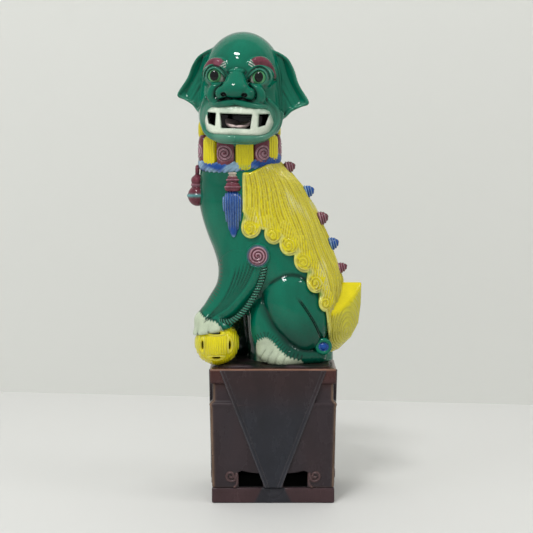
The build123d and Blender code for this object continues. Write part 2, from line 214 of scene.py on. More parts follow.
class Loft:
    """Column of ellipses along Z, each station x, y, z, half width, half depth."""

    def __init__(self, stations):
        self.table = smooth_path(stations, 8)

    def at(self, z):
        return [np.interp(z, self.table[:, 2], self.table[:, i]) for i in (0, 1, 3, 4)]

    def __call__(self, p):
        x, y, rx, ry = self.at(p[:, 2])
        k = np.hypot((p[:, 0] - x) / rx, (p[:, 1] - y) / ry)
        side = (k - 1) * np.minimum(rx, ry)
        low, high = self.table[0, 2], self.table[-1, 2]
        return smax(side, np.maximum(p[:, 2] - high, low - p[:, 2]), 2.0)


def spiral(a, b, radius, pitch, hand=1):
    """Ridges, -1 to 1, of a spiral about (0, 0), fading out past radius."""
    r = np.hypot(a, b)
    wave = stripes(r, pitch, -hand * np.arctan2(b, a))
    return wave * step(radius + 0.6, radius - 0.6, r) * step(0.0, 0.6 * pitch, r)


def trimmed(field, over):
    """A shape cut off where over is positive, with a hair-fine line sunk along the cut."""
    return np.maximum(field + 0.03 * np.clip(over / 0.3 + 1, 0, 2), over - 0.3)


def shared(key, cores, whole):
    """One piece's share of a shape moulded in one with its neighbours: the part nearest its own core."""
    others = np.minimum.reduce([d for name, d in cores.items() if name != key])
    return trimmed(whole, cores[key] - others)


def halved(field, p, side):
    """Half of a shape on one side of its middle plane: side -1 keeps the low Y half, and 1 the high."""
    return trimmed(field, -side * p[:, 1])


# ---------------------------------------------------------------- meshing
BLOCK = 4
COARSER = 1.0
NEAR, WIDE = 1.6, 7.0        # how far off a surface its small and its large hollows are felt
# how much the colour is darkened deep in large valleys, as painted shade
PAINTED_VALLEY_SHADE = 0.45


def polygonise(field, low, high, voxel):
    """Quads on the field's surface.

    Only the blocks of the grid that the surface may cross are worked out finely.
    """
    size = BLOCK * voxel
    low = np.array(low) - 2 * voxel
    count = np.ceil((np.array(high) + 2 * voxel - low) / size).astype(int)
    index = np.stack(np.meshgrid(*[np.arange(n) for n in count], indexing="ij"), -1).reshape(-1, 3)
    centre = low + index * size + 1.5 * voxel
    coarse = field(centre)
    values = np.broadcast_to(coarse.reshape(*count, 1, 1, 1), (*count, BLOCK, BLOCK, BLOCK)).copy()
    near = index[np.abs(coarse) < 1.15 * size]
    if not len(near):
        raise ValueError("the field's surface lies outside its box")
    offset = np.stack(np.meshgrid(*[np.arange(BLOCK)] * 3, indexing="ij"), -1).reshape(-1, 3)
    fine = low + ((near * BLOCK)[:, None, :] + offset[None]).reshape(-1, 3) * voxel
    found = np.concatenate([field(part) for part in np.array_split(fine, max(1, len(fine) // 250000))])
    values[near[:, 0], near[:, 1], near[:, 2]] = found.reshape(-1, BLOCK, BLOCK, BLOCK)
    dense = values.transpose(0, 3, 1, 4, 2, 5).reshape(*(count * BLOCK)).astype(np.float32)
    grid = openvdb.FloatGrid(1e3)
    grid.copyFromArray(np.ascontiguousarray(dense))
    points, quads = grid.convertToQuads(0.0)
    return low + points.astype(float) * voxel, quads.astype(np.int32)


def slope(field, p, h):
    """The field's value and gradient at p."""
    base = field(p)
    return base, np.stack([(field(p + h * np.eye(3)[i]) - base) / h for i in range(3)], 1)


def glazed_mesh(name, field, relief, paint, low, high, voxel, bare):
    """The field's surface as a mesh with its glaze colour per vertex, darkened deep in large valleys as
    painted shade; alpha is 0 where the clay is bare.

    Hollows and proud edges are found in relief, the field of the whole shape that the piece is part of.
    """
    voxel = voxel * COARSER
    points, quads = polygonise(field, low, high, voxel)
    for nudge in (0.1, 0.25):
        value, grad = slope(field, points, nudge * voxel)
        size = np.maximum(np.einsum("ij,ij->i", grad, grad), 0.05)
        points = points - np.clip(value / size, -voxel, voxel)[:, None] * grad
    points[:, 2] = np.maximum(points[:, 2], 0.0)
    size = np.sqrt(size)
    normal = grad / size[:, None]
    hollow = np.clip(1 - relief(points + NEAR * normal) / size / NEAR, -0.2, 1.5)
    proud = np.clip(1 + relief(points - NEAR * normal) / size / NEAR, -0.2, 1.5)
    painted_shade_depth = np.clip(1 - relief(points + WIDE * normal) / size / WIDE, 0, 1)
    a, b, c = (points[quads[:, i]] for i in (0, 1, 2))
    if np.einsum("ij,ij->i", np.cross(b - a, c - a), normal[quads[:, 0]]).sum() < 0:
        quads = quads[:, ::-1]
    mesh = bpy.data.meshes.new(name)
    mesh.vertices.add(len(points))
    mesh.vertices.foreach_set("co", (points * 0.001).astype(np.float32).ravel())
    mesh.loops.add(4 * len(quads))
    mesh.loops.foreach_set("vertex_index", np.ascontiguousarray(quads, dtype=np.int32).ravel())
    mesh.polygons.add(len(quads))
    mesh.polygons.foreach_set("loop_start", np.arange(len(quads), dtype=np.int32) * 4)
    mesh.update(calc_edges=True)
    mesh.validate()
    mesh.polygons.foreach_set("use_smooth", np.ones(len(mesh.polygons), bool))
    mesh.set_sharp_from_angle(angle=math.radians(62))
    colour = np.ones((len(points), 4), np.float32)
    # painted shade: the colour is darkened deep in large valleys
    colour[:, :3] = np.clip(paint(points, hollow, proud) * (1 - PAINTED_VALLEY_SHADE * painted_shade_depth)[:, None], 0, 1)
    colour[:, 3] = 1.0 - bare(points)
    layer = mesh.color_attributes.new("paint", "FLOAT_COLOR", "POINT")
    layer.data.foreach_set("color", colour.ravel())
    return mesh


def piece(node, field, paint, finish, voxel=0.7, margin=6.0, relief=None, bare=lambda p: 0.0):
    """Sculpts one clay piece in place of its CAD node."""
    low, high = corners(node)
    mesh = glazed_mesh(node, field, relief or field, paint, low - margin, high + margin, voxel, bare)
    obj = bpy.data.objects.new(node + "_glazed", mesh)
    bpy.context.scene.collection.objects.link(obj)
    mesh.materials.append(finish)
    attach(obj, "root")
    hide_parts(node)


# ---------------------------------------------------------------- glaze colours
def shade(r, g, b):
    """Linear colour of an 8-bit screen colour."""
    c = np.array([r, g, b]) / 255.0
    return np.where(c <= 0.04045, c / 12.92, ((c + 0.055) / 1.055) ** 2.4)


# body of the glaze, where it pools dark in a groove, and where it runs thin on an edge
GREEN = (shade(0, 106, 82), shade(0, 44, 36), shade(84, 150, 126))
YELLOW = (shade(222, 209, 2), shade(178, 150, 0), shade(228, 218, 84))
BLUE = (shade(20, 72, 150), shade(12, 30, 86), shade(150, 184, 204))
AUBERGINE = (shade(106, 50, 62), shade(52, 20, 30), shade(190, 150, 162))
BROWN = (shade(52, 42, 45), shade(24, 20, 23), shade(146, 118, 96))
SLATE = (shade(42, 43, 49), shade(26, 27, 32), shade(86, 84, 90))
ROCK = (shade(16, 24, 20), shade(6, 12, 10), shade(64, 52, 44))
CREAM = (shade(218, 227, 209), shade(104, 140, 118), shade(228, 230, 218))
PAW = (shade(186, 198, 172), shade(96, 106, 92), shade(214, 218, 204))
BLACK = shade(10, 14, 14)
TONGUE = (shade(232, 204, 200), shade(120, 90, 100), shade(224, 206, 206))
IRIS = (shade(92, 165, 112), shade(50, 110, 80), shade(140, 190, 150))


def mix(a, b, t):
    t = np.clip(t, 0, 1)[:, None]
    return a * (1 - t) + b * t


def coat(tones, hollow, proud, pooled=1.0, worn=1.0):
    """Colour of a glaze over relief: deeper in hollows, thin and pale on what stands proud."""
    body, pool, thin = tones
    c = np.broadcast_to(body, (len(hollow), 3))
    c = mix(c, pool, pooled * step(0.08, 0.75, hollow))
    return mix(c, thin, worn * step(0.12, 0.9, proud))


def plain(tones, pooled=1.0, worn=1.0):
    """Paint of one glaze all over."""
    return lambda p, hollow, proud: coat(tones, hollow, proud, pooled, worn)


# ---------------------------------------------------------------- materials
def glaze_material(name, mottle, grain, rough, bump, streak=3.0, shine=0.3, craze=0.0, partly_bare=False):
    """Lead glaze over the painted colour, mottled and streaked downwards, uneven in gloss and finely waved.

    craze is the depth of its network of cracks. On a partly bare piece, the paint's alpha falls to 0
    where the clay has no glaze, and is dull there.
    """
    mat = bpy.data.materials.new(name)
    mat.use_nodes = True
    nodes, links = mat.node_tree.nodes, mat.node_tree.links
    shader = nodes["Principled BSDF"]

    def made(kind, **numbers):
        node = nodes.new("ShaderNode" + kind)
        for key, number in numbers.items():
            node.inputs[key.replace("_", " ").title()].default_value = number
        return node

    def noise(place, **numbers):
        node = made("TexNoise", **numbers)
        links.new(place, node.inputs["Vector"])
        return node.outputs["Fac"]

    def ranged(value, **numbers):
        node = made("MapRange", **numbers)
        links.new(value, node.inputs["Value"])
        return node

    def joined(operation, first, second):
        node = nodes.new("ShaderNodeMath")
        node.operation = operation
        links.new(first, node.inputs[0])
        links.new(second, node.inputs[1])
        return node.outputs["Value"]

    paint = nodes.new("ShaderNodeAttribute")
    paint.attribute_name = "paint"
    place = nodes.new("ShaderNodeTexCoord").outputs["Object"]
    stretch = made("Mapping", scale=(1.0, 1.0, 1.0 / streak))
    links.new(place, stretch.inputs["Vector"])
    runs = noise(stretch.outputs["Vector"], scale=grain, detail=6.0, roughness=0.6)
    speck = noise(place, scale=900.0, detail=2.0)
    fine = 0.3 * mottle
    tone = ranged(runs, from_min=0.3, from_max=0.7, to_min=1.0 - mottle, to_max=1.0 + mottle)
    fleck = ranged(speck, from_min=0.35, from_max=0.65, to_min=1.0 - fine, to_max=1.0 + fine)
    tint = nodes.new("ShaderNodeVectorMath")
    tint.operation = "SCALE"
    links.new(paint.outputs["Color"], tint.inputs[0])
    links.new(joined("MULTIPLY", tone.outputs["Result"], fleck.outputs["Result"]), tint.inputs["Scale"])
    links.new(tint.outputs["Vector"], shader.inputs["Base Color"])

    gloss = ranged(runs, from_min=0.3, from_max=0.7, to_min=rough * 0.7, to_max=rough * 1.4)
    gloss = gloss.outputs["Result"]
    if partly_bare:
        level = ranged(paint.outputs["Alpha"], to_min=0.05, to_max=shine)
        links.new(level.outputs["Result"], shader.inputs["Specular IOR Level"])
        dull = ranged(paint.outputs["Alpha"], to_min=0.95)
        links.new(gloss, dull.inputs["To Max"])
        gloss = dull.outputs["Result"]
    else:
        shader.inputs["Specular IOR Level"].default_value = shine
    links.new(gloss, shader.inputs["Roughness"])

    height = noise(place, scale=160.0, detail=3.0)
    if craze:
        cells = made("TexVoronoi", scale=260.0)
        cells.feature = "DISTANCE_TO_EDGE"
        links.new(place, cells.inputs["Vector"])
        crack = ranged(cells.outputs["Distance"], from_max=0.03, to_min=-craze, to_max=0.0)
        height = joined("ADD", height, crack.outputs["Result"])
    lift = made("Bump", strength=bump, distance=0.001)
    links.new(height, lift.inputs["Height"])
    links.new(lift.outputs["Normal"], shader.inputs["Normal"])
    return mat


GREEN_GLAZE = glaze_material("green_glaze", mottle=0.14, grain=60.0, rough=0.06, bump=0.05, shine=0.32)
YELLOW_GLAZE = glaze_material("yellow_glaze", mottle=0.08, grain=90.0, rough=0.08, bump=0.05, shine=0.45,
                              partly_bare=True)
BLUE_GLAZE = glaze_material("blue_glaze", mottle=0.28, grain=160.0, rough=0.12, bump=0.08)
AUBERGINE_GLAZE = glaze_material("aubergine_glaze", mottle=0.30, grain=190.0, rough=0.12, bump=0.08)
PLINTH_GLAZE = glaze_material("plinth_glaze", mottle=0.20, grain=45.0, rough=0.24, bump=0.08, streak=2.0,
                              shine=0.22, partly_bare=True)
CLOTH_GLAZE = glaze_material("cloth_glaze", mottle=0.20, grain=70.0, rough=0.24, bump=0.08, streak=2.0,
                             shine=0.22)
GROUND_GLAZE = glaze_material("ground_glaze", mottle=0.35, grain=110.0, rough=0.35, bump=0.10, streak=1.0,
                              shine=0.12)
CREAM_GLAZE = glaze_material("cream_glaze", mottle=0.12, grain=110.0, rough=0.14, bump=0.08, craze=0.12)
TONGUE_GLAZE = glaze_material("tongue_glaze", mottle=0.10, grain=200.0, rough=0.16, bump=0.08)
EYE_GLAZE = glaze_material("eye_glaze", mottle=0.08, grain=220.0, rough=0.05, bump=0.0, shine=0.32)


# ---------------------------------------------------------------- plinth
TAPER = 1.25
WAIST_LOW, WAIST_FALL = 77.0, 80.0
RECESS = 2.0
WALL = 6.0
CLOTH_TOP, CLOTH_TIP = 41.0, 6.3


def plinth_half_sizes(z):
    """Half width and half depth of the walls at height z, drawn in at the foot and the waist."""
    t = np.clip((z - FOOT_TOP) / (WAIST_LOW - FOOT_TOP), 0, 1)
    inset = TAPER * (1 - t)
    lip = 0.5 * ridge(z - (WAIST_LOW - 0.5), 1.6)
    inset = inset + RECESS * step(WAIST_LOW, WAIST_FALL, z) - lip
    return PLINTH_X - inset, PLINTH_Y - inset


def wall_outside(p):
    x, y = plinth_half_sizes(p[:, 2])
    qx, qy = np.abs(p[:, 0]) - x + 3.0, np.abs(p[:, 1]) - y + 3.0
    flat = np.hypot(np.maximum(qx, 0), np.maximum(qy, 0)) + np.minimum(np.maximum(qx, qy), 0) - 3.0
    return flat + 0.12 * wobble(p, 26.0, 1.3)


def on_face(p, end):
    """A wall's own flat coordinates: across, height, and outwards, for the end walls or the long walls."""
    if end:
        return np.abs(p[:, 1]) * PLINTH_X / PLINTH_Y, p[:, 2], np.abs(p[:, 0]) - PLINTH_X
    return np.abs(p[:, 0]), p[:, 2], np.abs(p[:, 1]) - PLINTH_Y


def cloth_edge(across, z):
    """Signed distance across a wall to the cloth's slanting edge, negative on the cloth."""
    t = (z - FOOT_TOP) / (PLINTH_TOP - FOOT_TOP)
    return (across - (CLOTH_TIP + (CLOTH_TOP - CLOTH_TIP) * t)) * 0.936


def window(across, z):
    """Signed distance to the cusped opening beside the cloth's tip."""
    outline = [(8.2, 0), (25.6, 0), (26.2, 11.6), (23.6, 12.6), (17.0, 11.2), (12.0, 10.6), (9.0, 10.9)]
    return area2(across, z, [(a, FOOT_TOP + b) for a, b in outline], curved=False) - 0.4


def scroll_line():
    """Centre line of a bracket's scroll and leg, across and height."""
    line = []
    for i in range(22):
        turn = math.radians(-60 - 24 * i)
        r = 0.9 + 0.19 * i
        line.append((32.2 + r * math.cos(turn), FOOT_TOP + 9.3 + r * math.sin(turn)))
    leg = [(27.8, 11.0), (27.3, 6.5), (27.6, 3.0), (29.4, 0.6)]
    return line[:19] + [(a, FOOT_TOP + b) for a, b in leg]


SCROLL = scroll_line()


def bracket_relief(across, z):
    """Height of the scroll-headed bracket legs on a wall."""
    near = (across > 20) & (z < FOOT_TOP + 18)
    raised = np.zeros(len(z))
    raised[near] = ridge(line2(across[near], z[near], SCROLL, per=2)[0], 0.85)
    return raised


def walls(p):
    """All four walls as one hollow box with its windows."""
    shell = wall_outside(p)
    low, high = FOOT_TOP, SLAB_UNDER
    inner = np.maximum(np.abs(p[:, 0]) - PLINTH_X + WALL, np.abs(p[:, 1]) - PLINTH_Y + WALL)
    solid = np.maximum(shell, -inner)
    for end in (False, True):
        across, z, out = on_face(p, end)
        hole = np.maximum(window(across, z), -out - 9.0)
        solid = smax(solid, -hole, 1.0)
    return smax(solid, np.maximum(p[:, 2] - high, low - p[:, 2]), 0.6)


def plinth_paint(tones):
    def paint(p, hollow, proud):
        z = p[:, 2]
        c = coat(tones, hollow, proud, 0.9, 0.12)
        streaks = 0.5 + 0.5 * wobble(p * np.array([1, 1, 0.35]), 9.0, 2.0)
        c = mix(c, SLATE[0], 0.45 * streaks * step(96.0, 60.0, z))
        c = mix(c, shade(72, 42, 38), 0.85 * step(84.0, 101.0, z))
        c = mix(c, shade(74, 52, 54), 0.7 * step(FOOT_TOP + 0.6, FOOT_TOP - 1.0, z))
        for end in (False, True):
            across, _, out = on_face(p, end)
            fan = step(1.0, -1.0, across - 8.5 - 0.5 * (FOOT_TOP - z)) * step(-4.0, -2.0, out)
            c = mix(c, shade(40, 44, 50), 0.85 * fan * step(FOOT_TOP + 1.0, FOOT_TOP, z))
        patchy = 0.5 + 0.5 * step(-0.3, 0.4, wobble(p, 14.0, 7.0))
        c = mix(c, BROWN[2], 0.8 * step(0.55, 1.0, proud) * patchy)
        arris = np.maximum(np.abs(p[:, 0]) - PLINTH_X, np.abs(p[:, 1]) - PLINTH_Y)
        c = mix(c, shade(158, 120, 98), 0.75 * ridge(arris + 0.3, 0.8) * ridge(z - PLINTH_TOP + 0.3, 0.8))
        # painted shade: the plinth's hollow inside is painted near-black
        return mix(c, shade(16, 20, 19), 0.96 * plinth_inside(p))
    return paint


def plinth_inside(p):
    """1 in the hollow of the plinth, where the clay is bare and is painted near-black as shade, and 0
    outside.
    """
    x, y = plinth_half_sizes(p[:, 2])
    depth = np.maximum(np.abs(p[:, 0]) - x, np.abs(p[:, 1]) - y)
    return step(-2.0, -3.5, depth) * (p[:, 2] < SLAB_UNDER) * (p[:, 2] > 1.0)


def wall_share(p, axis, side):
    """Which wall a point belongs to, by the mitred corners: negative on the wall facing axis, side."""
    x, y = np.abs(p[:, 0]) - PLINTH_X, np.abs(p[:, 1]) - PLINTH_Y
    mitre = (y - x) if axis == 0 else (x - y)
    return np.maximum(mitre * 0.707, -side * p[:, axis])


def cloth_paint(p, hollow, proud):
    z = p[:, 2]
    tone = 0.5 + 0.5 * wobble(p * np.array([1, 1, 0.5]), 14.0, 5.0)
    c = coat(SLATE, hollow, proud, 0.9, 0.2)
    c = mix(c, shade(52, 37, 37), step(62, 98, z) * (0.6 + 0.4 * tone))
    c = mix(c, shade(36, 40, 48), 0.5 * tone * step(60, 30, z))
    end = np.abs(p[:, 0]) > PLINTH_X - 1.5
    edge = np.where(end, cloth_edge(*on_face(p, True)[:2]), cloth_edge(*on_face(p, False)[:2]))
    line = np.maximum(ridge(edge + 0.6, 0.45), 0.7 * ridge(edge + 3.2, 0.4))
    return mix(c, shade(92, 88, 92), 0.55 * line)


# the plinth's four sides, each with the axis it faces and its direction
FACES = (("front", 1, -1), ("back", 1, 1), ("left_end", 0, -1), ("right_end", 0, 1))


def build_plinth():
    for place, axis, side in FACES:
        def wall(p, axis=axis, side=side):
            return np.maximum(walls(p), wall_share(p, axis, side))
        piece(place + "_wall", wall, plinth_paint(BROWN), PLINTH_GLAZE, voxel=0.9, bare=plinth_inside)

    def slab(p):
        top = rounded_box(p, [0, 0, (PLINTH_TOP + SLAB_UNDER) / 2],
                          [PLINTH_X, PLINTH_Y, (PLINTH_TOP - SLAB_UNDER) / 2], 1.6)
        return top + 0.15 * wobble(p, 22.0, 0.4)
    piece("top_slab", slab, plinth_paint(BROWN), PLINTH_GLAZE, voxel=0.9)

    def tray(p):
        half = np.array([PLINTH_X - 1.1, PLINTH_Y - 1.1, FOOT_TOP / 2])
        body = rounded_box(p, [0, 0, FOOT_TOP / 2], half, 1.4) + 0.12 * wobble(p, 20.0, 0.9)
        pocket = rounded_box(p, [0, 0, FOOT_TOP + 3], [PLINTH_X - 7, PLINTH_Y - 7, 10.0], 1.0)
        groove = 0.0
        for end in (False, True):
            across, z, out = on_face(p, end)
            fan = np.abs(np.hypot(across, z - FOOT_TOP - 1.0) - 9.0)
            groove = groove + 0.35 * ridge(fan, 0.8) * step(-3.0, -1.5, out)
        return smax(body + groove, -pocket, 0.8)
    piece("foot_tray", tray, plinth_paint(BROWN), PLINTH_GLAZE, voxel=0.9, bare=plinth_inside)

    for place, axis, side in FACES:
        def cloth(p, axis=axis, side=side):
            across, z, out = on_face(p, axis == 0)
            edge = cloth_edge(across, z)
            proud = 0.55 + 0.35 * step(-3.4, -2.6, edge) - 0.35 * ridge(edge + 3.2, 0.5)
            sag = 0.10 * wobble(p, 18.0, 3.1)
            sheet = smax(out - proud - sag, -3.0 - out, 0.8)
            trim = np.maximum(edge, np.maximum(z - PLINTH_TOP + 1.2, FOOT_TOP + 0.4 - z))
            return np.maximum(smax(sheet, trim, 0.7), -side * p[:, axis])
        piece(place + "_cloth", cloth, cloth_paint, CLOTH_GLAZE, voxel=0.7)

    def brackets(p):
        best = far_off(p)
        for end in (False, True):
            across, z, _ = on_face(p, end)
            x, y = plinth_half_sizes(z)
            surface = np.abs(p[:, 0]) - x if end else np.abs(p[:, 1]) - y
            raised = bracket_relief(across, z)
            sheet = smax(surface - 1.0 * raised, -1.5 - surface, 0.5)
            best = np.minimum(best, np.maximum(sheet, 4 * (0.25 - raised)))
        trim = np.maximum(FOOT_TOP + 0.3 - p[:, 2], p[:, 2] - FOOT_TOP - 17.0)
        return np.maximum(best, trim)

    def bracket_paint(p, hollow, proud):
        return mix(plinth_paint(BROWN)(p, hollow, proud), shade(100, 76, 78), np.full(len(p), 0.55))
    piece("scroll_brackets", brackets, bracket_paint, PLINTH_GLAZE, voxel=0.5, margin=2.0)

    def ground(p):
        low, high = corners("ground_pad")
        x, y = high[0] - 2.5, high[1] - 2.0
        edge = (np.hypot(np.abs(p[:, 0] / x) ** 3, np.abs(p[:, 1] / y) ** 3) ** (1 / 3) - 1) * y
        edge = edge + 1.6 * wobble(p * np.array([1, 1, 0]), 17.0, 0.7)
        top = p[:, 2] - high[2] + 0.5 * wobble(p, 9.0, 2.2) + 0.3
        return smax(smax(edge, top, 2.5), low[2] - 0.5 - p[:, 2], 0.5)

    def ground_paint(p, hollow, proud):
        c = coat(ROCK, hollow, proud)
        return mix(c, BROWN[0], step(0.2, 0.6, wobble(p, 13.0, 5.0)))
    piece("ground_pad", ground, ground_paint, GROUND_GLAZE, voxel=0.9)


# ---------------------------------------------------------------- body, moulded in one and shared out
TORSO = Loft([(14, 0, 98, 34, 24), (14, 0, 115, 33.5, 26), (13.5, 0, 150, 37, 29), (5.2, 0, 175, 43.4, 30),
              (-6.2, 0, 203, 44.3, 30), (-14.8, 0, 226, 42.2, 29), (-19, 0, 242, 38, 28),
              (-24.5, 0, 256, 31.5, 28), (NECK_X, 0, 262, 27.4, 25.5), (NECK_X, 0, 275, 26, 24)])
LEFT_FORELEG = [(-15, -1, 208, 13), (-18.5, -9, 193, 17), (-22.5, -13.5, 176, 17),
                (-29.5, -17.5, 161, 15.2), (-37.5, -20, 151, 13.2), (-43.5, -21, 145, 11.2),
                (-46, -21, 143, 10.5)]
RIGHT_FORELEG = [(-20, 13, 194, 16), (-25, 15, 172, 15), (-27, 17, 150, 12.5), (-27, 18, 130, 10.6),
                 (-28, 18.5, 114, 10)]
TOE_HAIR = [(-12.5, 124), (-6, 127), (-1, 124.5), (5, 118), (12, 112.5), (23, 108.5)]
TOE_PITCH = 0.055
WRIST = [(-62, 150), (-56.6, 146.5), (-50.8, 141.4), (-43, 139.5), (-37.3, 133.2), (-33, 128), (-28, 122)]


def haunch(q):
    knee = ellipsoid(q, (11.5, 19.2, 152.5), (22, 17, 28))
    thigh = ellipsoid(q, (22, 17, 137), (20.5, 17.5, 27))
    return smin(knee, thigh, 9)


def hind_foot(q):
    shin = tube(q, [(-5.5, 18, 156, 9), (-6.8, 19.5, 144, 11), (-6, 20.5, 130, 11.2),
                    (-1, 21.5, 119, 10.5)])
    band = tube(q, [(-5, 19.5, 145, 8.5), (-0.5, 21, 130, 10.5), (10, 22, 118.5, 9.8), (22, 21.5, 113, 8.2),
                    (35, 20.5, 111.5, 6)])
    sole = ellipsoid(q, (5, 22.5, 112.5), (17.5, 12.5, 9.0), 8)
    return smin(smin(shin, band, 5), sole, 5)


def left_paw(p):
    """Paw laid over the ball's top, its toes following the ball down on the left and near sides."""
    q = p - BALL
    around = np.degrees(np.arctan2(q[:, 1], q[:, 0])) % 360
    toe = np.abs(((around - 12) / 34.0) % 1.0 - 0.5) * 2
    between = step(0.72, 1.0, toe)
    palm = ellipsoid(q, (-3.5, 0, 15.5), (14.5, 14.5, 10.5), 17)
    wrap = length(q) - BALL_R - 2.6 + 0.8 * between
    rim = 10.8 + 0.28 * q[:, 0] + 0.8 * between - q[:, 2]
    return smin(palm, smax(wrap, rim, 3.5), 5)


def right_paw(p):
    best = ellipsoid(p, (-31, 19, GROUND + 5), (13, 11, 9))
    for y in (11.5, 17, 22.5, 27):
        best = smin(best, tube(p, [(-34, y, GROUND + 4.5, 4.2), (-43.5, y, GROUND + 3.2, 3.4)]), 1.5)
    return best


def leg_grooves(p):
    """Shallow combed grooves down the near foreleg."""
    depth = 0.0
    for shift in (-9.0, -5.5, -2.0, 1.5, 5.0, 8.5):
        line = [(x + shift * 0.9, z + shift * 0.55) for x, _, z, _ in LEFT_FORELEG[1:]]
        d, t = line2(p[:, 0], p[:, 2], line)
        depth = depth + 0.75 * ridge(d, 0.8) * step(0.0, 0.2, t) * step(1.0, 0.75, t)
    return depth * step(-8.0, -14.0, p[:, 1])


def haunch_seams(parts, q):
    """Lines scored round the haunch: over its top, and down between it and the hind foot."""
    top = ridge(parts["haunch"] - parts["torso"], 1.3) * step(163, 170, q[:, 2])
    shin = ridge(parts["haunch"] - parts["hind_foot"], 1.6) * step(110, 116, q[:, 2])
    return (0.6 * top + 0.45 * shin) * step(10, 14, q[:, 1]) * step(5.0, 2.5, parts["haunch"])


def body_parts(p):
    """Distance to each limb's own core, and the whole with its fillets, combing and creases."""
    q = mirrored(p)
    parts = {
        "torso": TORSO(p),
        "haunch": haunch(q),
        "hind_foot": hind_foot(q),
        "left_foreleg": tube(p, LEFT_FORELEG),
        "right_foreleg": tube(p, RIGHT_FORELEG),
        "left_forepaw": left_paw(p),
        "right_forepaw": right_paw(p),
    }
    whole = smin(parts["torso"], parts["left_foreleg"], 13)
    whole = smin(whole, parts["right_foreleg"], 9)
    whole = smin(whole, parts["haunch"], 2.0)
    whole = smin(whole, parts["hind_foot"], 1.2)
    whole = smin(whole, parts["left_forepaw"], 2.0)
    whole = smin(whole, parts["right_forepaw"], 2.0)
    crease, along = line2(q[:, 0], q[:, 2], [(16, 161), (24.5, 149.5), (31.5, 138), (37, 126)])
    whole = whole + 1.5 * ridge(crease, 1.0) * step(0.0, 0.25, along) * step(8, 12, q[:, 1])
    whole = whole + leg_grooves(p) + toe_lines(q) + haunch_seams(parts, q)
    return parts, smax(whole, GROUND - 1.0 - p[:, 2], 0.8)


def toe_lines(q):
    depth = 0.0
    for x in (-7.0, -1.0, 5.5, 12.0):
        d, _ = line2(q[:, 0], q[:, 2], [(x - 4.0, 106.0), (x - 2.5, 112.0), (x + 2.0, 120.0)])
        depth = depth + 0.45 * ridge(d, 0.7)
    return depth * step(16, 20, q[:, 1]) * step(121, 117, q[:, 2])


def fringe(d, along, pitch, tooth):
    """Offset of a jagged painted edge: teeth of the given depth along a line."""
    return d + tooth * (np.abs(((along / pitch) % 1.0) * 2 - 1) - 0.5)


def body_paint(p, hollow, proud):
    q = mirrored(p)
    x, y, z = p.T
    c = coat(GREEN, hollow, proud, 1.1, 0.3)
    tone = step(-0.2, 0.9, wobble(p, 24.0, 0.3))
    c = mix(c, GREEN[1], 0.35 * tone)
    c = mix(c, GREEN[1], 0.35 * step(0.1, 0.6, leg_grooves(p)))
    # painted shade: the lower haunch darkened towards the ground
    c = mix(c, GREEN[1], 0.6 * step(152, 124, z) * step(0, 12, x) * step(12, 20, np.abs(y)))

    # glaze pooled along the haunch's seams, darkened further there as painted shade, and painted shade in
    # the dip between the haunch and the hind foot
    parts = body_parts(p)[0]
    seams = haunch_seams(parts, q)
    c = mix(c, GREEN[1] * 0.8, 0.8 * step(0.15, 0.55, seams))
    dip_shade = ridge(parts["haunch"] - parts["hind_foot"], 6.0) * step(18, 22, np.abs(y)) * step(112, 120, z)
    c = mix(c, GREEN[1], 0.5 * dip_shade * step(5.0, 2.5, parts["haunch"]))

    # painted shade: near-black in the hollow between the legs, where shade falls
    belly_shade = step(17, 11, np.abs(y)) * step(152, 140, z) * step(0, -8, x)
    c = mix(c, shade(6, 14, 12), 0.92 * belly_shade)

    # white toes of the hind feet, with green hair ending in a jagged edge over them
    edge, t = line2(q[:, 0], q[:, 2], TOE_HAIR)
    below = q[:, 2] < np.interp(q[:, 0], *zip((-14, 110), *TOE_HAIR, (24, 90)))
    signed = np.where(below, -edge, edge)
    toes = fringe(signed, t, TOE_PITCH, 2.2)
    on_foot = step(14, 17, q[:, 1]) * step(26, 22, q[:, 0])
    white = step(0.5, -0.5, toes) * on_foot
    c = mix(c, coat(PAW, hollow, proud, 1.0, 0.5), white)
    slash = ridge(np.abs(((t / TOE_PITCH) % 1.0) - 0.5), 0.16)
    slash = slash * step(5.5, 4.0, signed) * step(0.0, 1.0, signed) * on_foot
    c = mix(c, GREEN[1] * 0.5, 0.85 * slash)

    # white forepaws, the near one ending in a jagged line across the wrist
    wrist = np.interp(x, *zip(*WRIST))
    line = fringe(z - wrist, (x - y * 0.5) / 2.3, 1.0, 2.2)
    near = step(-26, -30, x) * step(2, -2, y)
    c = mix(c, coat(PAW, hollow, proud, 1.2, 0.5), step(0.4, -0.4, line) * near)
    c = mix(c, GREEN[1], 0.7 * ridge(z - wrist - 1.2, 0.9) * near)
    # painted shade: the far forepaw's white is dimmed to 0.6
    far = step(-34, -37, x) * step(4, 8, y) * step(GROUND + 12, GROUND + 9, z)
    c = mix(c, coat(PAW, hollow, proud, 1.2, 0.5) * 0.6, far)

    # short dark strokes down the front edge of the near foreleg
    front, t = line2(x, z, [(-42.0, 186), (-41.5, 172), (-44.5, 161), (-51.0, 152.5), (-57, 147)])
    stroke = ridge(((t / 0.05) % 1.0) - 0.5, 0.14) * step(3.4, 2.2, front) * step(4, -4, y)
    return mix(c, shade(70, 52, 44), 0.8 * stroke)


def body_skin(p):
    return body_parts(p)[1]


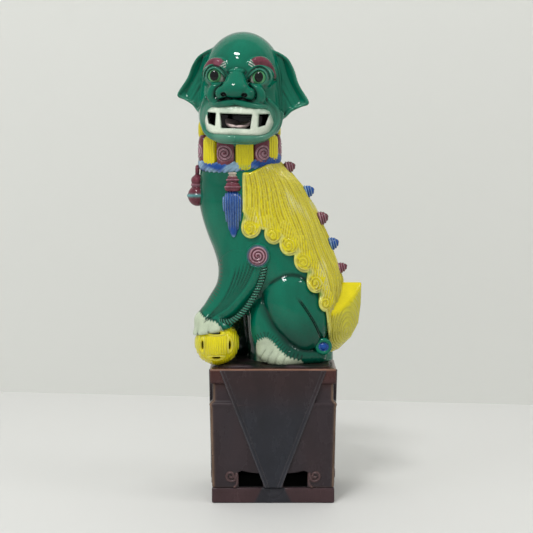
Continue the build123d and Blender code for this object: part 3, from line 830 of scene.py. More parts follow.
def build_body():
    """The torso and limbs, each its own share of the one moulded body."""
    def share(key, p, side):
        field = shared(key, *body_parts(p))
        return halved(field, p, side) if side else field

    for node, key, side, voxel in (
            ("torso_left_half", "torso", -1, 0.9), ("torso_right_half", "torso", 1, 0.9),
            ("left_haunch", "haunch", -1, 0.7), ("right_haunch", "haunch", 1, 0.9),
            ("left_hind_foot", "hind_foot", -1, 0.6), ("right_hind_foot", "hind_foot", 1, 0.8),
            ("left_foreleg", "left_foreleg", 0, 0.65), ("right_foreleg", "right_foreleg", 0, 0.8),
            ("left_forepaw", "left_forepaw", 0, 0.55), ("right_forepaw", "right_forepaw", 0, 0.65)):
        finish = CREAM_GLAZE if "forepaw" in node else GREEN_GLAZE
        piece(node, lambda p, key=key, side=side: share(key, p, side), body_paint, finish, voxel,
              margin=12.0, relief=body_skin)


# ---------------------------------------------------------------- mane, tail and spine knobs
FRONT_LINE = [(-24, 262), (-22.5, 221), (-20, 206), (-14, 190), (-4, 170), (8, 150), (22, 110)]
MANE_OUTLINE = [(-23, 275), (-23.4, 223), (-16, 211), (1, 207), (13, 199), (23, 188), (31, 173), (38, 158),
                (41, 141), (44, 112), (90, 112), (90, 275)]
MANE_T = 2.3
# rolled locks along the mane's edge: x, z, radius, and how many degrees each is turned
CURLS = [(-16.5, 211, 8.0, 14), (0.5, 206, 7.5, -6), (13, 198.5, 8.8, 10), (24.5, 186, 9.2, -4),
         (33.5, 169.5, 8.4, 8), (41.5, 153.5, 7.0, 12)]
KNOB_AXIS = np.array([0.95, 0, 0.312])
KNOB_SETBACK = (0.6, 0.4, 0.8, 1.6, 3.5)
# the tail's outer edge and half width, each by height
TAIL_APEX = [(110, 44), (112, 47), (114, 52), (123, 61.5), (134, 67.3), (150, 69.3), (172, 69.9)]
TAIL_WIDTH = [(110, 5), (113, 9), (120, 14.5), (130, 18), (145, 19.5), (172, 19.5)]
TAIL_ROOT = 45.0


def strand(p):
    """Which strand of the mane a point lies on: 0 along the spine, 1 along the mane's front edge."""
    z = p[:, 2]
    x, y, rx, ry = TORSO.at(z)
    around = np.arctan2(np.abs(p[:, 1] - y) / ry, (p[:, 0] - x) / rx)
    front = np.interp(-z, [-c for _, c in FRONT_LINE], [a for a, _ in FRONT_LINE])
    edge = np.arccos(np.clip((front - x) / rx, -1, 1))
    return around / edge


def mane_sheet(p, skin):
    s = strand(p)
    q = mirrored(p)
    region = area2(q[:, 0], q[:, 2], MANE_OUTLINE, curved=False)
    waver = 0.35 * np.sin(p[:, 2] / 9.0 + 7 * s)
    combed = (0.34 * stripes(36 * s + waver, 1) + 0.24 * stripes(8.5 * s + 0.6 * waver, 1)
              + 0.20 * stripes(17 * s + 1.3 * waver, 1))
    spine = 0.9 * ridge(p[:, 1], 1.6)
    over = smax(skin - MANE_T - combed - spine, region, 2.4)
    roof = 252.5 + 0.40 * np.maximum(p[:, 0] + 17.0, 0) + 0.185 * (p[:, 1] + 27.0)
    over = smax(over, (p[:, 2] - np.minimum(roof, 268.0)) * 0.9, 1.6)
    return smax(over, -2.0 - skin, 0.5)


def curl_domes(p, skin):
    """The rolled locks along the mane's lower edge, each a teardrop with a spiral."""
    q = mirrored(p)
    best = far_off(p)
    for i, (x, z, r, turn) in enumerate(CURLS):
        a, b = q[:, 0] - x, q[:, 2] - z
        lean = 0.5 if i else 0.15
        stem = line2(a, b, [(0, 0), (-lean * r * 0.8, r * 1.5)])[0] - r * 0.62
        cos, sin = math.cos(math.radians(turn)), math.sin(math.radians(turn))
        a, b = a * cos - b * sin, a * sin + b * cos
        disc = smin(np.hypot(a * 1.08, b * 0.94) - r, stem, 5)
        dome = 2.0 * np.sqrt(np.clip(-disc / r, 0, 1))
        swirl = 0.34 * spiral(a + 0.15 * r, (b + 0.2 * r) * 0.85, 0.62 * r, 2.3, 1 if i % 2 else -1)
        hem = 0.34 * stripes(disc + 0.4, 2.0) * step(-0.55 * r, -0.38 * r, disc) * step(0.5 * r, 0.0, b)
        lines = 0.34 * stripes(a, 2.0) * step(0.1 * r, 0.7 * r, b)
        best = np.minimum(best, smax(skin - 1.6 - dome - swirl - hem - lines, disc, 1.6))
    return smax(best, -1.5 - skin, 0.5)


def yellow_paint(p, hollow, proud):
    c = coat(YELLOW, hollow, proud, 0.8, 0.9)
    c = mix(c, YELLOW[2], 0.35 * step(0.0, 0.9, wobble(p, 16.0, 4.0)))
    q = mirrored(p)
    region = area2(q[:, 0], q[:, 2], MANE_OUTLINE, curved=False)
    rim = far_off(p)
    for x, z, r, _ in CURLS:
        rim = np.minimum(rim, np.hypot(q[:, 0] - x, q[:, 2] - z) - r)
    edge = np.minimum(region, rim)
    c = mix(c, shade(214, 216, 140), 0.55 * step(-3.0, -1.0, edge))
    # painted highlight: pale streaks on the strands' crests, where the glaze also runs thin
    crest_highlight = step(0.3, 0.7, proud) * step(0.25, 0.7, wobble(p * [1.0, 1.0, 0.3], 7.0, 3.0))
    c = mix(c, shade(240, 238, 176), 0.65 * crest_highlight * step(-2.0, -5.0, edge))
    skirt = step(-1.0, 0.6, edge) * step(262, 240, p[:, 2])
    return mix(c, shade(110, 160, 60), 0.7 * skirt)


def build_mane_and_tail():
    def mane(p):
        skin = body_skin(p)
        return smax(mane_sheet(p, skin), 118.0 - p[:, 2], 1.0)
    piece("mane", mane, yellow_paint, YELLOW_GLAZE, voxel=0.69)

    for node, side in (("left_mane_curls", -1), ("right_mane_curls", 1)):
        def field(p, side=side):
            return np.maximum(curl_domes(p, body_skin(p)), 6 - side * p[:, 1])
        piece(node, field, yellow_paint, YELLOW_GLAZE, voxel=0.62 if side < 0 else 0.75)

    def tail_roof(p):
        y = np.sqrt(p[:, 1] ** 2 + 1.0) - 1.0
        return 0.75 * y + 0.66 * (p[:, 2] - 166.3)

    def tail(p):
        q = mirrored(p)
        x, z = q[:, 0], q[:, 2]
        y = np.sqrt(q[:, 1] ** 2 + 5.0)
        point = np.interp(z, *zip(*TAIL_APEX)) + 1.6
        wide = np.interp(z, *zip(*TAIL_WIDTH)) + 1.0
        deep = point - TAIL_ROOT
        bow = 0.16 * np.clip((x - TAIL_ROOT) / deep, 0, 1) * np.clip((point - x) / deep, 0, 1) * 4
        side = (y / wide + (x - TAIL_ROOT) / deep - 1 - bow) / np.sqrt(1 / wide ** 2 + 1 / deep ** 2)
        a, b = x - 58.0, z - 127.0
        tall = np.where(b > 0, 0.42, 1.0)
        r = np.hypot(a, b * tall)
        lines = stripes(r, 1.9, -np.arctan2(b * tall, a) * step(9, 5, r))
        on_side = step(2, 5, q[:, 1]) * step(-0.6, -2.4, tail_roof(p))
        side = smax(side - 0.3 * lines * on_side, np.maximum(44.0 - x, 110.6 - z), 3.0)
        return smax(side, tail_roof(p), 1.4)

    def tail_paint(p, hollow, proud):
        c = coat(YELLOW, hollow, proud, 0.7, 1.0)
        c = mix(c, shade(186, 182, 70), 0.6 * step(-1.5, -4, tail_roof(p)))
        return mix(c, YELLOW[1], 0.15 * step(-1.5, -0.5, tail_roof(p)))
    piece("tail", tail, tail_paint, YELLOW_GLAZE, voxel=0.6)

    for i, setback in enumerate(KNOB_SETBACK, 1):
        node = "spine_knob_%d" % i
        low, high = corners(node)
        seat = np.array([low[0] + 4.0 - setback, 0, low[2] + 3.7])
        tone, finish = (AUBERGINE, AUBERGINE_GLAZE) if i % 2 else (BLUE, BLUE_GLAZE)
        size = (high[1] - low[1]) / 8.4

        def knob(p, seat=seat, size=size):
            d = p - seat
            up = d @ KNOB_AXIS
            v = d - up[:, None] * KNOB_AXIS
            out = length(v)
            turn = np.arctan2(v[:, 1], v[:, 2] * KNOB_AXIS[0] - v[:, 0] * KNOB_AXIS[2])
            wide = np.interp(up, [-2.0, 0.0, 3.0, 6.0], [4.8, 4.8, 4.0, 2.0]) * size
            groove = 0.26 * stripes(up, 2.0, -turn)
            return smax((out - wide - groove) * 0.85, np.abs(up - 2.2) - 4.4, 2.6)
        piece(node, knob, plain(tone, 1.2, 1.1), finish, voxel=0.42)


# ---------------------------------------------------------------- brocade ball, braids and curls
# the ball's leaf-shaped slots: which way each faces, and the axis it lies along
SLOTS = [(np.array(d) / math.hypot(*d), np.eye(3)[k]) for d, k in
         [((0.80, -1, 0), 2), ((-0.84, -1, 0), 2), ((0, -1, 0.70), 0), ((0.1, -1, -0.72), 0),
          ((1, 0, 1), 1), ((1, 0, -1), 1), ((-1, 0, 1), 1), ((-1, 0, -1), 1),
          ((0.8, 1, 0), 2), ((-0.8, 1, 0), 2), ((0, 1, 0.7), 0), ((0, 1, -0.7), 0)]]
BALL_INSIDE = 15.6
LEFT_BRAID = [(-6.5, -30.0, 181), (-9.0, -30.6, 171), (-14, -30.8, 159.5), (-21.5, -31.0, 148.5),
              (-30.5, -31.4, 140.5), (-38.5, -31.6, 139.5), (-45, -31.8, 142.5)]
RIGHT_BRAID = [(-6.5, 29.5, 181), (-9, 30.5, 170), (-13, 30, 158), (-18, 28.6, 146), (-21, 27.5, 134),
               (-22, 27, 126)]


def ball(p):
    q = p - BALL
    r = length(q)
    n = q / np.maximum(r, 1e-6)[:, None]
    petals = far_off(p)
    for direction, along in SLOTS:
        facing = n @ direction
        s = n @ along * BALL_R
        t = n @ np.cross(direction, along) * BALL_R
        petals = np.minimum(petals, np.where(facing > 0.4, np.hypot(s * 0.36, t) - 1.25, 1e3))
    rings = stripes(petals - 0.9, 1.9) * step(-0.3, 0.6, petals) * step(2.8, 1.6, petals)
    combed = stripes(q[:, 0] + 0.5 * wobble(q, 9.0, 3.0), 1.7) * step(1.6, 3.0, petals)
    skin = r - BALL_R + 0.5 - 0.36 * rings - 0.16 * combed - 0.12 * wobble(q, 5.0, 1.0)
    hollow_shell = smax(skin, 13.6 - r, 0.8)
    return smax(hollow_shell, -petals, 0.9)


def braid(p, path):
    """Flat plaited band, lying on the body, with slanting plaits."""
    line = smooth_path(path, 6)
    best, along, across = far_off(p), np.zeros(len(p)), np.zeros(len(p))
    run = 0.0
    for a, b in zip(line, line[1:]):
        ab = b - a
        size = math.sqrt(ab @ ab)
        ap = p - a
        t = np.clip(ap @ ab / size ** 2, 0, 1)
        off = ap - t[:, None] * ab
        side = np.cross(ab / size, [0, 1, 0])
        w = off @ side
        deep = off[:, 1]
        end = off @ (ab / size)
        d = np.sqrt((w / 2.5) ** 2 + (deep / 2.0) ** 2 + (end / 2.2) ** 2) - 1
        nearer = d < best
        best = np.where(nearer, d, best)
        along = np.where(nearer, run + t * size, along)
        across = np.where(nearer, w, across)
        run += size
    return best * 2.1, along, across


def ball_inside(p):
    return 1.0 * (length(p - BALL) < BALL_INSIDE)


def plaits(along, across):
    return stripes(along + 0.4 * across, 2.2)


def build_ball_and_locks():
    def ball_paint(p, hollow, proud):
        c = coat(YELLOW, hollow, proud, 0.9, 0.9)
        # painted shade: the ball's hollow inside is painted dark olive
        c = mix(c, shade(70, 60, 14), 0.95 * ball_inside(p))
        return mix(c, shade(186, 200, 70), 0.25 * step(0, 0.8, wobble(p, 9.0, 2.5)))
    piece("brocade_ball", ball, ball_paint, YELLOW_GLAZE, voxel=0.5, bare=ball_inside)

    for node, path in (("left_leg_lock", LEFT_BRAID), ("right_leg_lock", RIGHT_BRAID)):
        def field(p, path=path):
            d, along, across = braid(p, path)
            return d - 0.35 * plaits(along, across)

        def paint(p, hollow, proud, path=path):
            _, along, across = braid(p, path)
            c = coat(GREEN, hollow, proud, 0.6, 0.9)
            c = mix(c, shade(14, 18, 18), 0.9 * step(0.0, -0.5, plaits(along, across)))
            return mix(c, shade(14, 18, 18), 0.8 * step(1.7, 2.3, np.abs(across)))
        piece(node, field, paint, GREEN_GLAZE, voxel=0.45)

    for node in ("left_shoulder_curl", "right_shoulder_curl"):
        centre = middle(node)
        out = np.sign(centre[1])

        def field(p, centre=centre, out=out):
            skin = body_skin(p)
            a, b = p[:, 0] - centre[0], p[:, 2] - centre[2]
            disc = np.hypot(a, b) - 9.6
            moat = 0.7 * ridge(disc + 1.9, 0.5)
            dome = 1.3 * np.sqrt(np.clip(-disc / 9.6, 0, 1))
            over = smax(skin - 1.0 - dome - 0.34 * spiral(a, b, 7.2, 2.3, -1) + moat, disc, 1.2)
            return smax(smax(over, -1.5 - skin, 0.5), 4 - out * p[:, 1], 0.5)

        def paint(p, hollow, proud, centre=centre):
            a, b = p[:, 0] - centre[0], p[:, 2] - centre[2]
            r = np.hypot(a, b)
            c = coat(AUBERGINE, hollow, proud, 1.1, 1.2)
            c = mix(c, AUBERGINE[2], 0.55 * step(0.1, 0.8, spiral(a, b, 7.3, 2.3, -1)))
            c = mix(c, shade(64, 116, 134), 0.85 * step(6.8, 7.4, r))
            return mix(c, GREEN[0], step(7.9, 8.5, r))
        piece(node, field, paint, AUBERGINE_GLAZE, voxel=0.45)

    for node in ("left_hock_curl", "right_hock_curl"):
        centre = middle(node)
        out = np.sign(centre[1])

        def field(p, centre=centre, out=out):
            a, b = p[:, 0] - centre[0], p[:, 2] - centre[2]
            r = np.hypot(a, b)
            torus = np.hypot(r - 4.7, np.abs(p[:, 1]) - 25.6) - 1.8
            eye = ellipsoid(p, (centre[0], out * 25.0, centre[2]), (4.0, 2.6, 3.2))
            core = smax(r - 4.6, np.abs(np.abs(p[:, 1]) - 23.0) - 2.4, 1.0)
            return np.maximum(smin(np.minimum(torus, core), eye, 0.6), 4 - out * p[:, 1])

        def paint(p, hollow, proud, centre=centre):
            r = np.hypot((p[:, 0] - centre[0]) * 0.85, p[:, 2] - centre[2])
            c = coat(BLUE, hollow, proud, 1.0, 1.0)
            return mix(c, coat(GREEN, hollow, proud), step(3.1, 3.7, r))
        piece(node, field, paint, BLUE_GLAZE, voxel=0.42)


# ---------------------------------------------------------------- collar, ruff, bell and tassels
COLLAR = middle("collar")
COLLAR_TURN = turned(0, math.radians(10.5)) @ turned(1, math.radians(-5))
# the ruff's locks: degrees round the neck, 0 purple or 1 yellow, and the heights of their ends
RUFF = [(-78, 0, 258.0, 281), (-50, 1, 256.6, 280), (-20.5, 0, 256.6, 279), (8.5, 1, 253.6, 279),
        (36.5, 0, 256.6, 279), (60, 1, 257.5, 281), (88, 0, 259.0, 282), (115, 1, 261.0, 280),
        (142, 0, 261.5, 279), (169, 1, 261.5, 279), (196, 0, 261.0, 279), (223, 1, 260.0, 279),
        (250, 0, 259.0, 280), (-98, 1, 277, 293), (103, 1, 277, 294)]
TASSEL_X = -30.4
TASSEL_TALL = 36.0
CAP_OUTLINE = [(-0.5, 5.6), (1.5, 6.3), (4.0, 6.0), (5.5, 4.4), (8.5, 5.0), (10.5, 3.4), (13.5, 3.2),
               (14.4, 2.0)]


def neck_angle(p):
    """Angle about the neck, 0 at the lion's left side, growing towards its back, and distance outwards."""
    x, y = (p[:, 0] - NECK_X) / 28.2, p[:, 1] / 26.4
    return np.arctan2(x, -y), (np.hypot(x, y) - 1) * 26.4


def ruff(p, colour):
    """The locks of one colour round the neck, above the collar."""
    angle, out = neck_angle(p)
    best = far_off(p)
    for degrees, kind, low, high in RUFF:
        if kind != colour:
            continue
        a = math.radians(degrees)
        s = ((angle - a + math.pi) % (2 * math.pi) - math.pi) * 28.6
        z = p[:, 2]
        past_end = np.abs(z - (low + high) / 2) - (high - low) / 2
        rounded = np.hypot(np.maximum(np.abs(s) - 1.5, 0), np.maximum(past_end + 5.4, 0)) - 5.4
        tab = np.maximum(np.maximum(np.abs(s) - 6.8, past_end), rounded)
        puff = 2.6 * np.sqrt(np.clip(-tab / 6.5, 0, 1))
        if kind:
            relief = 0.2 * stripes(s, 1.9, 0.6 * np.sin(z / 2.5))
        else:
            relief = 0.45 * spiral(s, z - low - 10.0, 6.2, 2.4, 1)
        best = np.minimum(best, smax(out - 1.9 - 0.8 * puff - relief, tab, 1.3))
    return smax(best, -2.0 - out, 0.5)


def build_collar():
    def collar(p):
        q = (p - COLLAR) @ COLLAR_TURN
        flat = np.hypot((q[:, 0] + 0.8) / 30.0, q[:, 1] / 27.6)
        side = (flat - 1) * 29
        twist = 0.22 * stripes(np.arctan2(q[:, 0], q[:, 1]) * 30 + 1.6 * q[:, 2], 4.6)
        band = (np.hypot(side / 2.6, q[:, 2] / 4.7) - 1) * 2.6
        return band - twist + 0.25

    def collar_paint(p, hollow, proud):
        c = coat(BLUE, hollow, proud, 1.2, 0.7)
        c = mix(c, BLUE[1], 0.8 * step(0.1, 0.6, wobble(p * [1, 1, 1.8], 9.0, 3.0)))
        return mix(c, BLUE[2], 0.75 * step(0.0, 0.7, wobble(p * [1, 1, 1.8], 10.0, 8.0)))
    piece("collar", collar, collar_paint, BLUE_GLAZE, voxel=0.6)

    def purple_paint(p, hollow, proud):
        c = coat(AUBERGINE, hollow, proud, 1.0, 1.3)
        return mix(c, AUBERGINE[2], 0.3 * step(0.1, 0.8, wobble(p, 6.0, 6.0)))

    def ruff_yellow(p, hollow, proud):
        c = coat(YELLOW, hollow, proud, 0.9, 0.7)
        return mix(c, shade(170, 190, 60), 0.5 * step(3.0, 0.5, p[:, 2] - 256.0))
    piece("ruff_locks_purple", lambda p: ruff(p, 0), purple_paint, AUBERGINE_GLAZE, voxel=0.55)
    piece("ruff_locks_yellow", lambda p: ruff(p, 1), ruff_yellow, YELLOW_GLAZE, voxel=0.55)

    low, high = corners("chest_bell")
    x = (low[0] + high[0]) / 2 + 1.4

    def bell(p):
        loop = np.hypot(np.hypot(p[:, 1], p[:, 2] - high[2] + 4.5) - 3.0, p[:, 0] - x) - 1.5
        crown = ellipsoid(p, (x, 0, high[2] - 12.0), (5.0, 6.2, 4.4))
        bowl = ellipsoid(p, (x, 0, low[2] + 8.4), (7.6, 8.4, 8.2))
        collar_ring = np.hypot(np.hypot(p[:, 0] - x, p[:, 1]) - 4.0, p[:, 2] - high[2] + 15.6) - 1.2
        belt = 0.7 * ridge(p[:, 2] - low[2] - 8.6, 1.3)
        slit = np.maximum(np.abs(p[:, 1]) - 0.7, p[:, 2] - low[2] - 5.0)
        body = smin(smin(loop, crown, 1.5), smin(bowl - belt, collar_ring, 1.0), 1.2)
        return smax(body, -slit, 0.6)

    def bell_paint(p, hollow, proud):
        c = coat(AUBERGINE, hollow, proud, 1.0, 0.9)
        return mix(c, shade(90, 165, 165), 0.85 * ridge(p[:, 2] - low[2] - 8.6, 1.3))
    piece("chest_bell", bell, bell_paint, AUBERGINE_GLAZE, voxel=0.5)

    for side, out in (("left", -1), ("right", 1)):
        tip = corners(side + "_tassel")[0][2]

        def tassel(p, out=out, tip=tip):
            z = p[:, 2]
            h = np.clip((z - tip) / TASSEL_TALL, -0.2, 1.2)
            wide = 9.3 * np.clip(h, 0.0, 1) ** 0.62 * np.clip(1.30 - h ** 6, 0, 1.12) * 0.98
            lean = TASSEL_X + 0.6 * (1 - h)
            y = out * (TORSO.at(z)[3] * 0.90 + 0.6)
            a = (p[:, 0] - lean) / np.maximum(wide, 0.4)
            b = (p[:, 1] - y) / np.maximum(0.62 * wide, 0.4)
            lines = 0.26 * stripes(p[:, 0] - lean, 1.9) * step(0.05, 0.3, h)
            d = (np.hypot(a, b) - 1) * np.maximum(0.62 * wide, 0.4) - lines
            return smax(d, np.maximum(tip + 0.4 - z, z - tip - TASSEL_TALL - 0.4), 1.0)

        def cap(p, out=out, tip=tip):
            z = p[:, 2] - tip - TASSEL_TALL
            wide = np.interp(z, *zip(*CAP_OUTLINE))
            y = out * (TORSO.at(p[:, 2])[3] * 0.90 + 1.0)
            rings = 0.35 * stripes(z, 2.6) * step(1.0, 2.0, z)
            round_it = np.hypot((p[:, 0] - TASSEL_X) / wide, (p[:, 1] - y) / (0.75 * wide)) - 1
            return smax(round_it * 0.75 * wide - rings, np.maximum(-0.6 - z, z - 14.4), 1.2)

        def cap_paint(p, hollow, proud, tip=tip):
            c = coat(AUBERGINE, hollow, proud, 1.2, 1.0)
            return mix(c, shade(214, 206, 186), 0.75 * step(9.5, 12.5, p[:, 2] - tip - TASSEL_TALL))
        piece(side + "_tassel", tassel, plain(BLUE, 1.3, 0.6), BLUE_GLAZE, voxel=0.45)
        piece(side + "_tassel_cap", cap, cap_paint, AUBERGINE_GLAZE, voxel=0.45)


# ---------------------------------------------------------------- head, in its own turned frame
HEAD_TURN = turned(2, HEAD_YAW) @ turned(1, HEAD_ROLL)
SKULL = Loft([(0, 0, 268, 20, 24), (0, 0, 273, 23.5, 26.5), (0, -1.5, 279.5, 27, 30),
              (0, -2, 286.5, 30.6, 33), (0, -2, 295, 32.6, 34), (0, -1, 308, 32, 33.5),
              (0, 0, 322, 31.4, 32.5), (0, 1, 335, 31, 32)])
MUZZLE = Loft([(0, -15, 272.8, 15, 14), (0, -18, 277, 21, 17.5), (0, -20, 283, 24, 19),
               (0, -20, 292, 24.6, 19), (0, -20, 300, 23.5, 18.5), (0, -19, 309, 20, 16),
               (0, -17, 314, 15, 14)])
BROW = [(10.8, -28.8, 333.4, 2.0), (14.2, -28.2, 335.4, 3.4), (19.6, -25.4, 335.2, 3.8),
        (24.2, -21.2, 331.0, 3.0), (26.8, -17.4, 324.5, 1.9)]
EYE = np.array([17.0, -24.0, 323.6])
EYE_R = 8.6
EYE_OPENING = [(-8.6, -3.2), (-5.2, 1.6), (-0.8, 4.7), (3.0, 3.6), (4.8, -0.2), (3.0, -3.7), (-1.2, -4.7),
               (-5.4, -4.3)]
EAR_OUTLINE = [(22, 346), (34, 342), (40.5, 333), (45, 321), (52.6, 309.5), (52.2, 305.2), (47, 303.2),
               (40, 299.5), (34, 294), (27, 296), (25, 312), (22, 330)]
CAVE = (0, -32, 290)          # the middle of the hollow mouth
NOSTRIL = (7.8, -42.4, 309.3)
TEETH_OUTLINE = [(-17, 301.2), (-23.5, 298.5), (-26.6, 291), (-24, 283.5), (-15, 277.6), (15, 277.6),
                 (24, 283.5), (26.6, 291), (23.5, 298.5), (17, 301.2)]
MOUTH_WINDOWS = [[(-11.6, 295.2), (11.6, 295.2), (10.6, 285.2), (-10.2, 285.2)],
                 [(17.0, 295.6), (23.2, 296.4), (21.0, 288.6), (17.0, 287.0)],
                 [(-15.8, 295.4), (-16.2, 286.8), (-21.0, 288.4), (-23.4, 296.2)]]


def head_frame(p):
    return (p - HEAD) @ HEAD_TURN + [0, 0, HEAD[2]]


def mouth_frame(q):
    """The mouth sits a little to the lion's left of the nose."""
    shifted = q.copy()
    shifted[:, 0] -= 1.7 * step(309, 299, q[:, 2])
    return shifted


def brow_frame(q):
    """The brows mirror each other, the lion's right one sitting lower."""
    b = mirrored(q, 0)
    b[:, 2] += 2.0 * (q[:, 0] < 0)
    return b


def eye_opening(m):
    return area2(m[:, 0] - EYE[0], m[:, 2] - EYE[2], EYE_OPENING)


def ear(q):
    """Hanging ear, the lion's right one a little higher and closer to the cheek."""
    right = q[:, 0] < 0
    a = np.abs(q[:, 0])
    a = np.where(right, 22 + (a - 22) * 1.09, a)
    b = q[:, 2] - 2.6 * right * step(345, 318, q[:, 2])
    leaf = area2(a, b, EAR_OUTLINE)
    trough, _ = line2(a, b, [(31, 340), (36, 325), (45, 309.5)])
    mid = -2.6 + 2.0 * ridge(trough, 4.5) - 1.8 * ridge(leaf + 1.4, 1.8) - 2.0 * step(300, 345, b)
    grooves = (0.5 * ridge(trough - 4.6, 0.9) + 0.5 * ridge(trough + 0.2, 0.9)
               + 0.4 * ridge(trough - 8.2, 0.8))
    return smax(np.abs(q[:, 1] - mid) - 2.5 + grooves * step(-0.6, -2.5, leaf), leaf + 0.6, 3.0)


def head_parts(q):
    """Distance to each feature's own core, and the whole head with its fillets, openings and creases."""
    m, mouth = mirrored(q, 0), mouth_frame(q)
    n = mirrored(mouth, 0)
    u, v, z = m.T
    dome = ellipsoid(q, (0, 1, 322), (31.5, 32.5, 38))
    w = step(312, 330, z)
    skull = (1 - w) * SKULL(q) + w * dome
    opening = eye_opening(m)
    upper = step(-3.5, 0.5, z - EYE[2])
    lid_relief = (0.9 * ridge(opening - 1.1, 0.9) * (0.45 + 0.55 * upper)
                  - 0.7 * ridge(opening - 2.7, 0.55) * upper + 0.7 * ridge(opening - 4.0, 0.9) * upper)
    b = brow_frame(q)
    bridge = ellipsoid(m, (0, -32, 320), (7.6, 7.2, 8.2))
    nostril_wing = ellipsoid(m, (10.4, -35.4, 310.6), (4.5, 6.2, 5.0))
    cores = {
        "nose": smin(smin(ellipsoid(m, (0, -36.6, 313.6), (10.8, 7.8, 7.4)), bridge, 5), nostril_wing, 1.6),
        "lip": tube(n, [(0, -39.6, 304.4, 2.2), (8.5, -38.4, 302.8, 2.4), (15.5, -34.4, 301.8, 2.3),
                        (20.6, -29.0, 302.6, 1.7)]),
        "eyelid": ellipsoid(m, EYE + [-0.7, 0.7, 0.7], (10.5, 10.0, 9.5)) - lid_relief,
        "brow": tube(b, BROW),
        "ear": ear(q),
    }
    jaw = tube(n, [(0, -39.4, 277.4, 2.9), (11, -37.4, 277.6, 2.9), (19, -31.4, 279, 2.7),
                   (25.4, -22.8, 284, 2.5), (28.4, -17.0, 292, 2.4), (27.4, -19, 301, 2.3),
                   (23.6, -25, 307.0, 2.2)])
    chin = tube(n, [(0, -35.5, 275.2, 2.1), (12, -33, 275.8, 2.1), (21, -25.5, 279.4, 2.0),
                    (28.6, -13, 287, 1.8), (31.0, -9, 298, 1.6)])
    flank = tube(m, [(12.4, -31.0, 317.0, 2.4), (16.4, -31.4, 314.0, 3.9), (18.0, -30.4, 309.4, 4.5),
                     (16.6, -30.8, 306.0, 3.5), (13.6, -32.6, 304.8, 2.4)])
    bump = ellipsoid(m, (0, -32.4, 327.3), (6.2, 3.4, 2.2))
    core = smin(skull, MUZZLE(mouth), 5)
    core = smin(core, smin(jaw, chin, 1.0), 1.6)
    core = smin(core, flank, 1.8)
    core = smin(core, bump, 1.2)
    folds = 0.5 * stripes(v + 0.14 * (z - 320), 3.7) * step(26, 29, u) * ridge(v + 9, 5.0)
    folds = folds * step(298, 306, z) * step(345, 336, z)
    cores["head"] = core - folds

    whole = smin(cores["head"], cores["ear"], 2.4)
    whole = smin(whole, cores["brow"], 3.0)
    whole = smin(whole, cores["eyelid"], 2.8)
    whole = smin(whole, cores["nose"], 1.0)
    whole = smin(whole, cores["lip"], 1.0)
    nostril = ellipsoid(m, NOSTRIL, (2.1, 3.6, 1.5), -14)
    whole = smax(whole, -nostril, 0.6)
    whole = smax(whole, -np.maximum(opening, v + 20), 0.8)
    cave = rounded_box(n, CAVE, (22.5, 26, 8.2), 3.0)
    return cores, smax(whole, -cave, 0.6)


def head_skin(p):
    return head_parts(head_frame(p))[1]


def head_share(p, key, side):
    q = head_frame(p)
    cores, whole = head_parts(q)
    field = shared(key, cores, whole)
    if key == "head":
        return halved(field, q, -side)
    if side:
        return np.maximum(field, 2 - side * q[:, 0])
    return field


def head_paint(p, hollow, proud):
    q = head_frame(p)
    m = mirrored(q, 0)
    _, v, z = m.T
    c = coat(GREEN, hollow, proud, 1.2, 0.5)
    pale = step(308, 288, z) * step(-0.8, 0.5, wobble(p, 12.0, 2.0)) * step(0.5, 0.1, hollow)
    c = mix(c, shade(100, 146, 126), 0.75 * pale)
    ring = eye_opening(m)
    c = mix(c, GREEN[1] * 0.6, 0.8 * ridge(ring + 0.1, 0.5) * step(-18, -22, v))
    c = mix(c, GREEN[1], 0.3 * step(0.0, 0.8, wobble(p, 20.0, 6.0)))
    # painted shade: the hollow mouth is painted near-black inside
    inside = rounded_box(mouth_frame(q), CAVE, (23, 26.5, 8.7), 3.0) < 0
    c = mix(c, shade(14, 20, 20), inside * 1.0)
    # painted shade: the nostrils are painted dark inside
    nostril = ellipsoid(m, NOSTRIL, (2.5, 4.2, 1.9), -14) < 0
    return mix(c, shade(20, 26, 26), nostril * 0.9)


def brow_paint(p, hollow, proud):
    b = brow_frame(head_frame(p))
    d, t = line2(b[:, 0], b[:, 2], [(x, z) for x, _, z, _ in BROW])
    c = coat(AUBERGINE, hollow, proud, 1.0, 0.6)
    c = mix(c, shade(150, 92, 110), 0.4 * step(0, 0.8, wobble(p, 5.0, 1.0)))
    edge = fringe(d - np.interp(t, [0, 0.25, 0.55, 1], [2.0, 4.0, 3.2, 1.6]), t, 0.05, 0.9)
    c = mix(c, coat(GREEN, hollow, proud), step(-0.3, 0.3, edge))
    tuft = step(0.13, 0.05, t)
    strokes = step(-0.2, 0.5, stripes(0.85 * b[:, 2] + 0.5 * b[:, 0], 1.7))
    return mix(c, mix(GREEN[0], shade(205, 208, 200), strokes), tuft)


